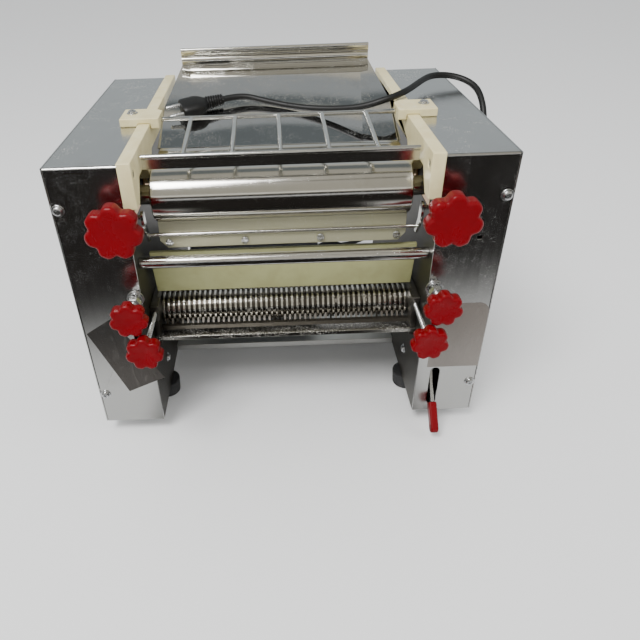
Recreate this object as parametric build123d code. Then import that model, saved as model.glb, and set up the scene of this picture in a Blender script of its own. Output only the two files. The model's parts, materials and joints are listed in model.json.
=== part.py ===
"""Electric pasta maker: a dough press with two smooth rollers, a noodle cutter under them,
a belt drive in the left box, a gear train and a clutch lever in the right box.

Millimetres. X runs to the right, Y to the back, Z up. Sizes below are measured from the
front faces of the side boxes (y = 0), from their bottom edges (z = 0) and from the middle
plane (x = 0). place() then moves the machine onto its feet and its origin to the middle
of its footprint.
"""
from build123d import *
import math
import os

# ---------------------------------------------------------------- overall
WIDTH = 440.0
BOX_WIDTH = 70.0
BOX_DEPTH = 330.0
BOX_HEIGHT = 320.0
FOOT_HEIGHT = 20.0
HALF_WIDTH = WIDTH / 2
WALL_X = HALF_WIDTH - BOX_WIDTH        # inner faces of the two frame plates

# ---------------------------------------------------------------- clearances
SEAT_GAP = 0.3                         # between pieces that only lie near each other
RUN_FIT = 0.05                         # radial clearance of a shaft in its hole
THREAD_FIT = 0.1                       # radial clearance of a screw in its hole
SLIDE_FIT = 0.1                        # bearing block in its slot
TOOTH_PLAY = 0.25                      # share of the module taken off each tooth

# ---------------------------------------------------------------- frame and covers
FRAME_THICK = 12.0
SHEET = 1.5
FLANGE = 12.0
FRAME_OUT = WALL_X + FRAME_THICK
SCREW_X = WALL_X + FRAME_THICK / 2     # the knob screws run in the middle of the plates
BASE_THICK = 8.0
BASE_FRONT = 133.0
TIE_R = 6.5
TIE_SPIGOT_R = 4.0
TIE_SPIGOT = 8.0
FRONT_TIE = (18.0, BOX_HEIGHT - 112.0)
REAR_TIE_INSET = 14.0
REAR_TIES = [(BOX_DEPTH - REAR_TIE_INSET, 160.0), (BOX_DEPTH - REAR_TIE_INSET, 17.0)]
PLATE_BOLT = (67.0, 42.0)
PLATE_BOLT_DEPTH = 8.0
PANEL_SCREW_Z = [43.5, BOX_HEIGHT - 42.0]
PANEL_SCREW_INSET = 7.0
PANEL_SCREW_X = HALF_WIDTH - PANEL_SCREW_INSET
SCREW_R = 2.5
SCREW_HEAD_R = 4.6
SCREW_HEAD = 2.8
WASHER_R = 6.0
WASHER = 0.9
CORNER_R = 2.5
SMALL_HOLES = [(HALF_WIDTH - 25.7, 233.4), (HALF_WIDTH - 30.2, 254.8)]

# ---------------------------------------------------------------- feet
FOOT_R = 17.5
FOOT_TAPER = 1.5
FOOT_Y = [75.0, BOX_DEPTH - 68.0]
FOOT_INSET = 8.0                       # from the inner wall to the middle of a foot
FOOT_X = WALL_X + FOOT_INSET
FOOT_SINK = 8.0
FOOT_SCREW = 20.0

# ---------------------------------------------------------------- press rollers
ROLLER_R = 27.5
ROLLER_GAP = 1.0
ROLLER_END = 19.0                      # from a roller's end to the inner wall
ROLLER_HALF = WALL_X - ROLLER_END
ROLLER_DROP = 52.0                     # from the top of the boxes down to the rollers' axes
ROLLER_Z = BOX_HEIGHT - ROLLER_DROP
FRONT_ROLLER_Y = 54.0
PRESS_MODULE = 3.5
PRESS_TEETH = 16
REAR_ROLLER_Y = FRONT_ROLLER_Y + 2 * ROLLER_R + ROLLER_GAP
JOURNAL_R = 10.0
ROLLER_STEP_R = 15.0
BUSH_R = 15.0
BUSH_LIP = 3.0
BUSH_FLANGE = 2.0
GAP_TRAVEL = 4.0
BLOCK_Y = 36.0
BLOCK_Z = 34.0
SCREW_HOLD = 3.0                       # how far a gap screw is in its block at rest

# ---------------------------------------------------------------- gear planes (distance from x = 0)
GEAR_INNER = FRAME_OUT + 3.0
PRESS_GEAR_W = 16.0
DRIVE_GEAR_W = 10.0
BIG_GEAR_X = GEAR_INNER + 14.0
PULLEY_X = FRAME_OUT + 33.0
PULLEY_W = 16.0
SWING_GEAR_X = FRAME_OUT + 15.0
SWING_GEAR_W = 8.0
TAKEOFF_X = FRAME_OUT + 25.0
TAKEOFF_W = 8.0

# ---------------------------------------------------------------- left box: belt and reduction
DRIVE_MODULE = 2.5
ROLLER_DRIVE_TEETH = 34
SMALL_TEETH = 15
BIG_TEETH = 48
PINION_TEETH = 14
SMALL_ANGLE = -47.0
PINION_ANGLE = -33.0
STUB_R = 7.0
LAYSHAFT_R = 8.0
PULLEY_R = 60.0
MOTOR_PULLEY_R = 17.0
BELT_W = 10.0
BELT_H = 6.0
BELT_LIP = 3.0
GROOVE_FLARE = 0.5                     # a pulley groove is this much wider at its rim, each side
MOTOR_INSET = 75.0                     # from the motor's axis to the back of the boxes
MOTOR_AT = (BOX_DEPTH - MOTOR_INSET, 80.0)
MOTOR_R = 50.0
MOTOR_X = [-128.0, 52.0]
MOTOR_SHAFT_R = 7.0
MOTOR_BORE = 30.0
MOTOR_FOOT = 6.0

# ---------------------------------------------------------------- right box: cutter drive and clutch
TRAIN_MODULE = 2.0
TAKEOFF_TEETH = 32
IDLER_TEETH = 70
SWING_TEETH = 20
CUTTER_TEETH = 18
SWING_ANGLE = -75.0                    # from the front cutter roller down to the swing gear
SWING_AXLE_R = 6.0
CUTTER_DROP = 150.0                    # from the rollers' axes down to the cutters' axes
CUTTER_Z = ROLLER_Z - CUTTER_DROP
LEVER_PIVOT = (45.0, CUTTER_Z - 17.0)              # level with the swing gear's meshes, so it withdraws straight
LEVER_KNEE = (12.0, CUTTER_Z - 83.7)
LEVER_X = FRAME_OUT + 7.0
LEVER_THICK = 4.0
LEVER_BAR = 10.0
LEVER_HUB_R = 14.0
LEVER_ARM_R = 10.0
LEVER_ANGLE = 225.2
LEVER_TAIL = 52.0
SLOT_X = LEVER_X + LEVER_THICK / 2
SLOT_WIDTH = 10.5
SLOT_Z = [CUTTER_Z - 108.0, CUTTER_Z - 52.0]
GRIP_LENGTH = 28.0
GRIP_WIDTH = 12.0
GRIP_THICK = 9.0
GRIP_END = 2.0                         # plastic past the end of the bar

# ---------------------------------------------------------------- noodle cutter
CUTTER_R = 18.6
CUTTER_OVERLAP = 1.2
GROOVE_DEPTH = 2.4
FRONT_CUTTER_Y = 68.0
LAND_PITCH = 6.0
LAND_PLAY = 0.15
CUTTER_JOURNAL_R = 7.0
CUTTER_PLATE_THICK = 6.0
CUTTER_PLATE_TOP = CUTTER_Z + 29.7
CUTTER_PLATE_BOTTOM = CUTTER_Z - 26.0
CUTTER_PLATE_FRONT = 30.0
CUTTER_PLATE_BEHIND = 28.0
CUTTER_BOSS = 9.0
CUTTER_BOSS_FRONT = 24.0
CUTTER_GEAR_W = 8.0
REAR_CUTTER_Y = FRONT_CUTTER_Y + 2 * CUTTER_R - CUTTER_OVERLAP
CUTTER_PLATE_OUT = WALL_X - SEAT_GAP
CUTTER_PLATE_IN = CUTTER_PLATE_OUT - CUTTER_PLATE_THICK
CUTTER_END_PLAY = 1.0                  # least gap between a cutter roller and its plate
CUTTER_REACH = CUTTER_PLATE_IN - CUTTER_END_PLAY - LAND_PLAY + LAND_PITCH / 4
FRONT_LANDS = int(2 * CUTTER_REACH / LAND_PITCH)
COMB_TOOTH = 2.2
COMB_BAR = (42.0, 47.0, CUTTER_Z - 15.0, CUTTER_Z - 10.0)
COMB_TIP_R = CUTTER_R - GROOVE_DEPTH + 0.6
COMB_TIP_ANGLE = 200.0

# ---------------------------------------------------------------- sheet parts in the middle
CHEEK_THICK = 13.0
CHEEK_IN = WALL_X - CHEEK_THICK
CHEEK_RISE = 3.0                       # of the cheeks above the boxes
CHEEK_TOP = BOX_HEIGHT + CHEEK_RISE
CHEEK_HEIGHT = 24.0
CHEEK_LOW = CHEEK_TOP - CHEEK_HEIGHT
CHEEK_FRONT = -3.0
CHEEK_LOBE_Z = ROLLER_Z + 9.0
NIP_DEPTH = ROLLER_Z + 6.0
CHEEK_BOLTS = [(8.0, BOX_HEIGHT - 11.0), (165.0, BOX_HEIGHT - 9.0), (BOX_DEPTH - 30.0, BOX_HEIGHT - 9.0)]
CHEEK_BOLT_R = 2.5
CHEEK_BOLT_HEAD_R = 4.4
CHEEK_BOLT_HEAD = 4.0
BOARD_THIN = 1.2
BOARD_BOTTOM = (134.0, BOX_HEIGHT - 36.0)
BOARD_TOP = (BOX_DEPTH - 22.0, BOX_HEIGHT + 18.0)
HEM_HEIGHT = 22.0
HEM_TOP = BOARD_TOP[1] + HEM_HEIGHT
BOARD_FOLD_BOTTOM_X = CHEEK_IN - 42.0
BOARD_FOLD_TOP_X = CHEEK_IN - 25.0
BOARD_TOP_X = CHEEK_IN - 15.0
WING_LIFT = 4.0
WING_MEETS_Y = 209.0
HEM_ROLL_R = 3.0
GUIDE_THICK = 5.0
GUIDE_TOP = (46.0, CUTTER_Z + 86.0)
GUIDE_BOTTOM_Y = 56.0
GUIDE_HALF = WALL_X - 4.7
APRON_LIP = (28.0, CUTTER_Z - 14.0)
APRON_END = (61.0, CUTTER_Z - 23.5)
APRON_HEM = 5.0
SCRAPER_THICK = 3.0
SCRAPER_LOW = (39.5, ROLLER_Z - 55.0)
SCRAPER_TOP_ANGLE = 248.0
SCRAPER_TOP_HALF = CHEEK_IN - 7.0
SCRAPER_LOW_HALF = CHEEK_IN - 15.0
SCRAPER_SCREW_OUT = SCRAPER_LOW_HALF - 2.0
SCRAPER_SCREW_X = [SCRAPER_SCREW_OUT * share / 3 for share in (-3, -1, 1, 3)]
SCRAPER_SCREW_Z = SCRAPER_LOW[1] + 6.5
SCRAPER_SCREW_R = 4.0
HANGER_ROD_R = 2.0
HANGER_ROD_Z = SCRAPER_LOW[1] + 15.5
HANGER_X = CHEEK_IN + 2.0
HANGER_THICK = 3.0
HANGER_WIDTH = 9.0
HANGER_PIVOT = (26.0, ROLLER_Z - 12.0)
HANGER_PIN_R = 2.5
HANGER_PIN_DEPTH = 6.0

# ---------------------------------------------------------------- guard grille
GUARD_ROD_R = 2.5
GUARD_CROSS_R = 2.3
GUARD_HALF = CHEEK_IN - 2.5
GUARD_FRONT = (34.0, BOX_HEIGHT - 5.0)
GUARD_REAR = (129.0, BOX_HEIGHT + 2.5)
GUARD_CROSS_X = [-94.5, -47.0, 0.0, 47.0, 94.5]
GUARD_STRIP = 12.0
GUARD_STRIP_THICK = 1.5
GUARD_BLOCK_X = [CHEEK_IN - 10.0, FRAME_OUT + 7.0]
GUARD_BLOCK_Y = [112.0, 149.0]
GUARD_BLOCK_TOP = CHEEK_TOP + 6.0
GUARD_BLOCK_BOTTOM = CHEEK_TOP - 5.5
GUARD_BLOCK_CORNER = 11.2              # side of the square that takes off the inner rear corner
GUARD_SCREW = (WALL_X + 8.0, 132.0)
GUARD_SCREW_DEPTH = 8.0

# ---------------------------------------------------------------- knobs
LOBES = 7
BIG_KNOB = dict(radius=27.0, lobe=7.5, thick=16.0, hub=12.0, hub_length=8.0, face=-36.0)
SMALL_KNOB = dict(radius=19.2, lobe=5.3, thick=12.5, hub=8.5, hub_length=6.0)
GAP_SCREW_R = 4.0
BOARD_SCREW_R = 4.0
BOARD_SCREW_Z = CUTTER_Z + 58.0
BOARD_SCREW_DEPTH = 22.0
BOARD_KNOB_FACE = -44.0
NUT_WASHER = (9.0, 1.5)
NUT_COLLAR = (6.8, 5.0)
NUT_ACROSS = 13.0
NUT_THICK = 6.5
CUTTER_SCREW_R = 2.5
CUTTER_SCREW_X = CUTTER_PLATE_OUT - CUTTER_BOSS / 2
CUTTER_SCREW_Z = CUTTER_Z + 20.5
CUTTER_SCREW_END = 38.0
CUTTER_KNOB_FACE = -50.0

# ---------------------------------------------------------------- switch, gland and cord
SWITCH_AT = (HALF_WIDTH - 30.0, 232.0)
SWITCH_BODY = (20.0, 28.0)
SWITCH_FLANGE = 2.5
SWITCH_DEPTH = 20.0
SWITCH_RIM = 3.0
SWITCH_WALL = 2.0
SWITCH_WELL = 8.0
ROCKER_AXIS_Y = BOX_DEPTH - 1.0
ROCKER_PIN_R = 1.2
ROCKER_PIN = 1.2                       # how far a pin reaches into the wall
ROCKER_PLAY = 0.5
CORD_D = 7.4
CORD_R = CORD_D / 2
GLAND_AT = (HALF_WIDTH - 30.0, 60.0)
GLAND_R = 9.0
GLAND_LENGTH = 34.0
GLAND_NUT_R = 11.0
GLAND_NUT = 6.0
COIL_MIDDLE = (96.0, 408.0)
COIL_TURN_R = 40.0
COIL_RING = 8.5                        # half width of the ring that three turns fill
COIL_HEIGHT = 2.05 * CORD_D
FLOOR = -FOOT_HEIGHT
CORD_REST = FLOOR + CORD_R + 0.1

# route from the gland to the coil, and from the coil over the right box to the plug
CORD_TAIL = [
    (190.0, 364.0, 60.0), (190.0, 386.0, 60.0), (189.0, 411.0, 53.0), (185.0, 434.0, 34.0),
    (177.0, 451.0, 9.0), (160.0, 460.0, -9.0), (138.0, 458.0, CORD_REST), (117.0, 452.0, CORD_REST),
]
CORD_LEAD = [
    (124.0, 368.0, -10.0), (147.0, 364.0, -13.5), (172.0, 360.0, CORD_REST), (200.0, 355.0, CORD_REST),
    (228.0, 344.0, CORD_REST), (250.0, 322.0, CORD_REST), (261.0, 290.0, CORD_REST), (265.0, 254.0, -11.0),
    (263.0, 222.0, 10.0), (258.0, 198.0, 46.0), (252.0, 182.0, 92.0), (247.0, 171.0, 142.0),
    (244.0, 163.0, 192.0), (243.0, 161.0, 238.0), (243.0, 168.0, 276.0), (244.0, 185.0, 303.0),
    (243.0, 201.0, 316.0), (240.0, 216.0, 323.0), (231.0, 228.0, 328.0), (217.0, 235.0, 331.5),
    (202.0, 236.0, 333.0), (188.0, 230.0, 333.5), (177.0, 218.0, 333.0), (165.0, 201.0, 332.0),
    (154.0, 185.0, 331.0), (141.0, 171.0, 329.5), (122.0, 163.0, 325.5), (96.0, 168.0, 316.5),
    (62.0, 184.0, 311.0), (24.0, 199.0, 310.3), (-12.0, 212.0, 314.8), (-43.0, 220.0, 321.9),
    (-65.0, 212.0, 319.4),
]
PLUG_GRIP = 26.0
PLUG_BODY = (26.0, 30.0, 16.0)
PLUG_PIN_R = 2.4
PLUG_PIN = 17.0
PLUG_PIN_GAP = 19.0

# ---------------------------------------------------------------- reaches that place the origin
REAR_REACH = BOX_DEPTH + WASHER + SCREW_HEAD
FRONT_REACH = CUTTER_KNOB_FACE
Y_MIDDLE = (FRONT_REACH + REAR_REACH) / 2


def place(shape):
    """Move a shape from the measuring frame to the part's frame."""
    return Pos(0, -Y_MIDDLE, FOOT_HEIGHT) * shape


def save(name, *shapes):
    """Write one node; several shapes stay separate solids."""
    solids = [solid for shape in shapes for solid in place(shape).solids()]
    export_step(solids[0] if len(solids) == 1 else Compound(children=solids), f"parts/{name}.step")


def block(x, y, z):
    """A box from three spans."""
    size = [max(span) - min(span) for span in (x, y, z)]
    middle = [(max(span) + min(span)) / 2 for span in (x, y, z)]
    return Pos(*middle) * Box(*size)


def rod_x(radius, x, at):
    """A cylinder along X; at is its (y, z)."""
    return Pos((x[0] + x[1]) / 2, at[0], at[1]) * Rot(0, 90, 0) * Cylinder(radius, abs(x[1] - x[0]))


def rod_y(radius, y, at):
    """A cylinder along Y; at is its (x, z)."""
    return Pos(at[0], (y[0] + y[1]) / 2, at[1]) * Rot(90, 0, 0) * Cylinder(radius, abs(y[1] - y[0]))


def rod_z(radius, z, at):
    """A cylinder along Z; at is its (x, y)."""
    return Pos(at[0], at[1], (z[0] + z[1]) / 2) * Cylinder(radius, abs(z[1] - z[0]))


def slab_x(points, x):
    """A (y, z) outline pulled along X."""
    low, high = min(x), max(x)
    face = Face(Wire.make_polygon([(low, y, z) for y, z in points]))
    return extrude(face, amount=high - low, dir=(1, 0, 0))


def slab_y(points, y):
    """An (x, z) outline pulled along Y."""
    low, high = min(y), max(y)
    face = Face(Wire.make_polygon([(x, low, z) for x, z in points]))
    return extrude(face, amount=high - low, dir=(0, 1, 0))


def mirrored(side, x):
    """The span x on the given side: 1 is right, -1 is left."""
    return [side * value for value in x]


# ---------------------------------------------------------------- gears
def pitch_radius(module, teeth):
    return module * teeth / 2


def tooth_flank(module, teeth):
    """Half a tooth as (radius, half angle) pairs, on an involute of 20 degrees."""
    pitch = pitch_radius(module, teeth)
    base = pitch * math.cos(math.radians(20))
    root, tip = pitch - 1.25 * module, pitch + 0.95 * module
    half = math.pi / 2 / teeth - TOOTH_PLAY / teeth / 2

    def involute(radius):
        turn = math.acos(min(1.0, base / radius))
        return math.tan(turn) - turn

    start = max(base, root)
    radii = [start + (tip - start) * step / 3 for step in range(4)]
    flank = [(radius, half + involute(pitch) - involute(radius)) for radius in radii]
    return [(root, flank[0][1])] + flank if root < base else flank


def gear(module, teeth, bore, at, x, phase):
    """A spur gear on the X axis; phase is the angle of one tooth from +Y towards +Z."""
    points = []
    for tooth in range(teeth):
        middle = phase + tooth * 2 * math.pi / teeth
        flank = tooth_flank(module, teeth)
        sweep = [(r, middle - a) for r, a in flank] + [(r, middle + a) for r, a in reversed(flank)]
        points += [(at[0] + r * math.cos(a), at[1] + r * math.sin(a)) for r, a in sweep]
    return slab_x(points, x) - rod_x(bore, (min(x) - 1, max(x) + 1), at)


def mesh_phase(phase, teeth, at, next_teeth, next_at):
    """The tooth angle that puts the next gear in mesh with this one."""
    towards = math.atan2(next_at[1] - at[1], next_at[0] - at[0])
    share = (towards - phase) * teeth / (2 * math.pi)
    return towards + math.pi - (0.5 - share) * 2 * math.pi / next_teeth


def from_point(at, distance, angle):
    turn = math.radians(angle)
    return (at[0] + distance * math.cos(turn), at[1] + distance * math.sin(turn))


def third_corner(a, b, from_a, from_b, side):
    """The point at the given distances from a and b, on one side of the line between them."""
    length = math.dist(a, b)
    along = (from_a ** 2 - from_b ** 2 + length ** 2) / (2 * length)
    off = math.sqrt(from_a ** 2 - along ** 2) * side
    unit = ((b[0] - a[0]) / length, (b[1] - a[1]) / length)
    return (a[0] + along * unit[0] - off * unit[1], a[1] + along * unit[1] + off * unit[0])


FRONT_ROLLER = (FRONT_ROLLER_Y, ROLLER_Z)
REAR_ROLLER = (REAR_ROLLER_Y, ROLLER_Z)
FRONT_CUTTER = (FRONT_CUTTER_Y, CUTTER_Z)
REAR_CUTTER = (REAR_CUTTER_Y, CUTTER_Z)
SMALL_REACH = pitch_radius(DRIVE_MODULE, ROLLER_DRIVE_TEETH + SMALL_TEETH)
BIG_REACH = pitch_radius(DRIVE_MODULE, BIG_TEETH + PINION_TEETH)
STEP_SHAFT = from_point(REAR_ROLLER, SMALL_REACH, SMALL_ANGLE)
LAYSHAFT = from_point(STEP_SHAFT, BIG_REACH, PINION_ANGLE)
TAKEOFF_REACH = pitch_radius(TRAIN_MODULE, TAKEOFF_TEETH + IDLER_TEETH)
IDLER_REACH = pitch_radius(TRAIN_MODULE, IDLER_TEETH + SWING_TEETH)
INPUT_REACH = pitch_radius(TRAIN_MODULE, SWING_TEETH + CUTTER_TEETH)
SWING = from_point(FRONT_CUTTER, INPUT_REACH, SWING_ANGLE)
IDLER = third_corner(REAR_ROLLER, SWING, TAKEOFF_REACH, IDLER_REACH, -1)


# ---------------------------------------------------------------- frame
def bearing_slot(side):
    """The window in a frame plate in which a bearing block slides."""
    front = FRONT_ROLLER_Y - BLOCK_Y / 2 - GAP_TRAVEL - SLIDE_FIT * 3
    y = (front, FRONT_ROLLER_Y + BLOCK_Y / 2 + SLIDE_FIT)
    z = (ROLLER_Z - BLOCK_Z / 2 - SLIDE_FIT, ROLLER_Z + BLOCK_Z / 2 + SLIDE_FIT)
    return block(mirrored(side, (WALL_X - 1, FRAME_OUT + 1)), y, z)


def frame_plate(side):
    """One 12 mm side plate with its holes, slots and stub axles."""
    x = mirrored(side, (WALL_X, FRAME_OUT))
    through = mirrored(side, (WALL_X - 1, FRAME_OUT + 1))
    plate = block(x, (SHEET, BOX_DEPTH - SHEET), (0, BOX_HEIGHT - SHEET))
    plate -= bearing_slot(side)
    plate -= rod_x(BUSH_R, through, REAR_ROLLER)
    spigot = mirrored(side, (WALL_X - 1, WALL_X + TIE_SPIGOT + SEAT_GAP))
    for at in [FRONT_TIE] + REAR_TIES:
        plate -= rod_x(TIE_SPIGOT_R + THREAD_FIT, spigot, at)
    for at in CHEEK_BOLTS:
        plate -= rod_x(CHEEK_BOLT_R + THREAD_FIT, mirrored(side, (WALL_X - 1, WALL_X + 8.3)), at)
    pin = mirrored(side, (WALL_X - 1, WALL_X + HANGER_PIN_DEPTH + SEAT_GAP))
    plate -= rod_x(HANGER_PIN_R + RUN_FIT, pin, HANGER_PIVOT)
    slot_front = FRONT_ROLLER_Y - BLOCK_Y / 2
    plate -= rod_y(GAP_SCREW_R + THREAD_FIT, (0, slot_front), (side * SCREW_X, ROLLER_Z))
    bolt = mirrored(side, (WALL_X - 1, WALL_X + PLATE_BOLT_DEPTH + SEAT_GAP))
    plate -= rod_x(SCREW_R + THREAD_FIT, bolt, PLATE_BOLT)
    guard_hole = (side * GUARD_SCREW[0], GUARD_SCREW[1])
    guard_end = BOX_HEIGHT - GUARD_SCREW_DEPTH - SEAT_GAP
    plate -= rod_z(SCREW_R + THREAD_FIT, (guard_end, BOX_HEIGHT), guard_hole)
    for y in FOOT_Y:
        depth = FOOT_SCREW + FOOT_SINK - FOOT_HEIGHT + SEAT_GAP
        plate -= rod_z(SCREW_R + THREAD_FIT, (-1, depth), (side * FOOT_X, y))
    board_hole = (0, BOARD_SCREW_DEPTH + SEAT_GAP)
    plate -= rod_y(BOARD_SCREW_R + THREAD_FIT, board_hole, (side * SCREW_X, BOARD_SCREW_Z))
    plate -= rod_x(CUTTER_JOURNAL_R + 2, through, FRONT_CUTTER)
    if side < 0:
        plate -= rod_x(CUTTER_JOURNAL_R + 2, through, REAR_CUTTER)
        plate -= rod_x(BUSH_R - 3, through, LAYSHAFT)
        plate -= rod_x(MOTOR_SHAFT_R + 5, through, MOTOR_AT)
        plate += rod_x(STUB_R, mirrored(side, (FRAME_OUT - 1, BIG_GEAR_X + DRIVE_GEAR_W + 2)), STEP_SHAFT)
    else:
        plate += rod_x(STUB_R, (FRAME_OUT - 1, TAKEOFF_X + TAKEOFF_W + 2), IDLER)
        plate += rod_x(STUB_R, (FRAME_OUT - 1, LEVER_X + LEVER_THICK + 3), LEVER_PIVOT)
    return plate


def base_plate():
    """The plate under the motor, between the frame plates."""
    plate = block((-WALL_X, WALL_X), (BASE_FRONT, BOX_DEPTH - SHEET), (0, BASE_THICK))
    for at in motor_feet():
        plate -= rod_z(SCREW_R + THREAD_FIT, (-1, BASE_THICK + 1), at)
    return plate


def tie_rod(at):
    """A round spacer with a spigot at each end."""
    rod = rod_x(TIE_R, (-WALL_X, WALL_X), at)
    return rod + rod_x(TIE_SPIGOT_R, (-WALL_X - TIE_SPIGOT, WALL_X + TIE_SPIGOT), at)


# ---------------------------------------------------------------- covers
def box_shell(side):
    """The bent cover of one box: its front, its top and its rear in one sheet."""
    span = (WALL_X, HALF_WIDTH - SHEET - SEAT_GAP)
    x = mirrored(side, span)
    solid = block(x, (0, BOX_DEPTH), (0, BOX_HEIGHT))
    bends = solid.edges().filter_by(Axis.X).group_by(Axis.Z)[-1]
    solid = fillet(bends, CORNER_R)
    inside = mirrored(side, (span[0] - 1, span[1] + 1))
    solid -= block(inside, (SHEET, BOX_DEPTH - SHEET), (-1, BOX_HEIGHT - SHEET))
    for z in PANEL_SCREW_Z:
        solid -= rod_y(SCREW_R + THREAD_FIT, (-1, BOX_DEPTH + 1), (side * PANEL_SCREW_X, z))
    solid -= rod_y(GAP_SCREW_R + 1, (-1, SHEET + 1), (side * SCREW_X, ROLLER_Z))
    solid -= rod_y(BOARD_SCREW_R + 1, (-1, SHEET + 1), (side * SCREW_X, BOARD_SCREW_Z))
    notch = mirrored(side, (WALL_X - 1, FRAME_OUT + 4))
    solid -= block(notch, (-1, SHEET + 1), (CUTTER_SCREW_Z - 24, CUTTER_SCREW_Z + 8))
    guard_hole = (side * GUARD_SCREW[0], GUARD_SCREW[1])
    solid -= rod_z(SCREW_R + THREAD_FIT, (BOX_HEIGHT - SHEET - 1, BOX_HEIGHT + 1), guard_hole)
    if side > 0:
        solid -= lever_slot()
        for x, z in SMALL_HOLES:
            solid -= block((x - 2.5, x + 2.5), (-1, SHEET + 1), (z - 2, z + 2))
        solid -= rod_y(GLAND_R - 2 + THREAD_FIT, (BOX_DEPTH - SHEET - 1, BOX_DEPTH + 1), GLAND_AT)
        solid -= switch_cutout()
    return solid


def lever_slot():
    """The upright slot with round ends in the right front."""
    radius = SLOT_WIDTH / 2
    through = (-1, SHEET + 1)
    low, high = SLOT_Z[0] + radius, SLOT_Z[1] - radius
    slot = block((SLOT_X - radius, SLOT_X + radius), through, (low, high))
    return slot + rod_y(radius, through, (SLOT_X, low)) + rod_y(radius, through, (SLOT_X, high))


def switch_cutout():
    """The window for the power switch in the right rear."""
    width, height = SWITCH_BODY
    x = (SWITCH_AT[0] - width / 2 - THREAD_FIT, SWITCH_AT[0] + width / 2 + THREAD_FIT)
    z = (SWITCH_AT[1] - height / 2 - THREAD_FIT, SWITCH_AT[1] + height / 2 + THREAD_FIT)
    return block(x, (BOX_DEPTH - SHEET - 1, BOX_DEPTH + 1), z)


def side_panel(side):
    """The outer cover of one box: a plate with flanges inside the shell and a floor."""
    outer = (HALF_WIDTH - SHEET, HALF_WIDTH)
    panel = block(mirrored(side, outer), (0, BOX_DEPTH), (0, BOX_HEIGHT))
    flange = mirrored(side, (HALF_WIDTH - FLANGE, HALF_WIDTH - SHEET))
    inner_y = (SHEET, 2 * SHEET)
    rear_y = (BOX_DEPTH - 2 * SHEET, BOX_DEPTH - SHEET)
    top_z = (BOX_HEIGHT - 2 * SHEET, BOX_HEIGHT - SHEET)
    panel += block(flange, inner_y, (0, BOX_HEIGHT - SHEET))
    panel += block(flange, rear_y, (0, BOX_HEIGHT - SHEET))
    panel += block(flange, (SHEET, BOX_DEPTH - SHEET), top_z)
    floor = mirrored(side, (FRAME_OUT, HALF_WIDTH - SHEET))
    panel += block(floor, (SHEET, BOX_DEPTH - SHEET), (0, SHEET))
    for z in PANEL_SCREW_Z:
        panel -= rod_y(SCREW_R + THREAD_FIT, (SHEET - 1, BOX_DEPTH - SHEET + 1), (side * PANEL_SCREW_X, z))
    return panel


def pan_screw(length):
    """A pan-head screw with a washer; the seat is z = 0 and the shank points down."""
    washer = Pos(0, 0, WASHER / 2) * Cylinder(WASHER_R, WASHER)
    head = Pos(0, 0, WASHER + SCREW_HEAD / 2) * Cylinder(SCREW_HEAD_R, SCREW_HEAD)
    head = fillet(head.edges().group_by(Axis.Z)[-1], SCREW_HEAD * 0.45)
    shank = Pos(0, 0, -length / 2) * Cylinder(SCREW_R, length)
    return washer + head + shank


def machine_screws():
    """All pan-head screws of the covers, the feet and the guard blocks."""
    screws = []
    for side in (-1, 1):
        for z in PANEL_SCREW_Z:
            x = side * PANEL_SCREW_X
            screws.append(Pos(x, 0, z) * Rot(90, 0, 0) * pan_screw(8.0))
            screws.append(Pos(x, BOX_DEPTH, z) * Rot(-90, 0, 0) * pan_screw(8.0))
        seat = Pos(side * GUARD_SCREW[0], GUARD_SCREW[1], GUARD_BLOCK_TOP)
        screws.append(seat * pan_screw(GUARD_BLOCK_TOP - BOX_HEIGHT + GUARD_SCREW_DEPTH))
        for y in FOOT_Y:
            seat = Pos(side * FOOT_X, y, FOOT_SINK - FOOT_HEIGHT) * Rot(180, 0, 0)
            screws.append(seat * pan_screw(FOOT_SCREW))
        for at in CHEEK_BOLTS:
            screws.append(cheek_bolt(side, at))
        seat = Pos(side * WALL_X, *PLATE_BOLT) * Rot(0, -90 * side, 0)
        screws.append(seat * pan_screw(PLATE_BOLT_DEPTH))
    for x, y in motor_feet():
        screws.append(Pos(x, y, BASE_THICK + MOTOR_FOOT) * pan_screw(BASE_THICK + MOTOR_FOOT - 1))
    return screws


def motor_feet():
    """Places of the motor's four screws."""
    return [(x, MOTOR_AT[0] + y) for x in (MOTOR_X[0] + 30, MOTOR_X[1] - 30) for y in (-42, 42)]


def cheek_bolt(side, at):
    """A socket bolt sunk in a cheek plate."""
    head = mirrored(side, (CHEEK_IN + 1.0, CHEEK_IN + 1.0 + CHEEK_BOLT_HEAD))
    shank = mirrored(side, (CHEEK_IN + CHEEK_BOLT_HEAD, WALL_X + 8.0))
    bolt = rod_x(CHEEK_BOLT_HEAD_R, head, at) + rod_x(CHEEK_BOLT_R, shank, at)
    socket = mirrored(side, (CHEEK_IN, CHEEK_IN + 3.0))
    return bolt - rod_x(CHEEK_BOLT_HEAD_R / 2, socket, at)


def foot(side, y):
    """A round rubber foot with a sunk screw."""
    body = Cone(FOOT_R - FOOT_TAPER, FOOT_R, FOOT_HEIGHT)
    body = Pos(side * FOOT_X, y, -FOOT_HEIGHT / 2) * body
    hole = (side * FOOT_X, y)
    body -= rod_z(SCREW_R + THREAD_FIT, (-FOOT_HEIGHT - 1, 1), hole)
    return body - rod_z(WASHER_R + 1, (-FOOT_HEIGHT - 1, FOOT_SINK - FOOT_HEIGHT), hole)


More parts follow.
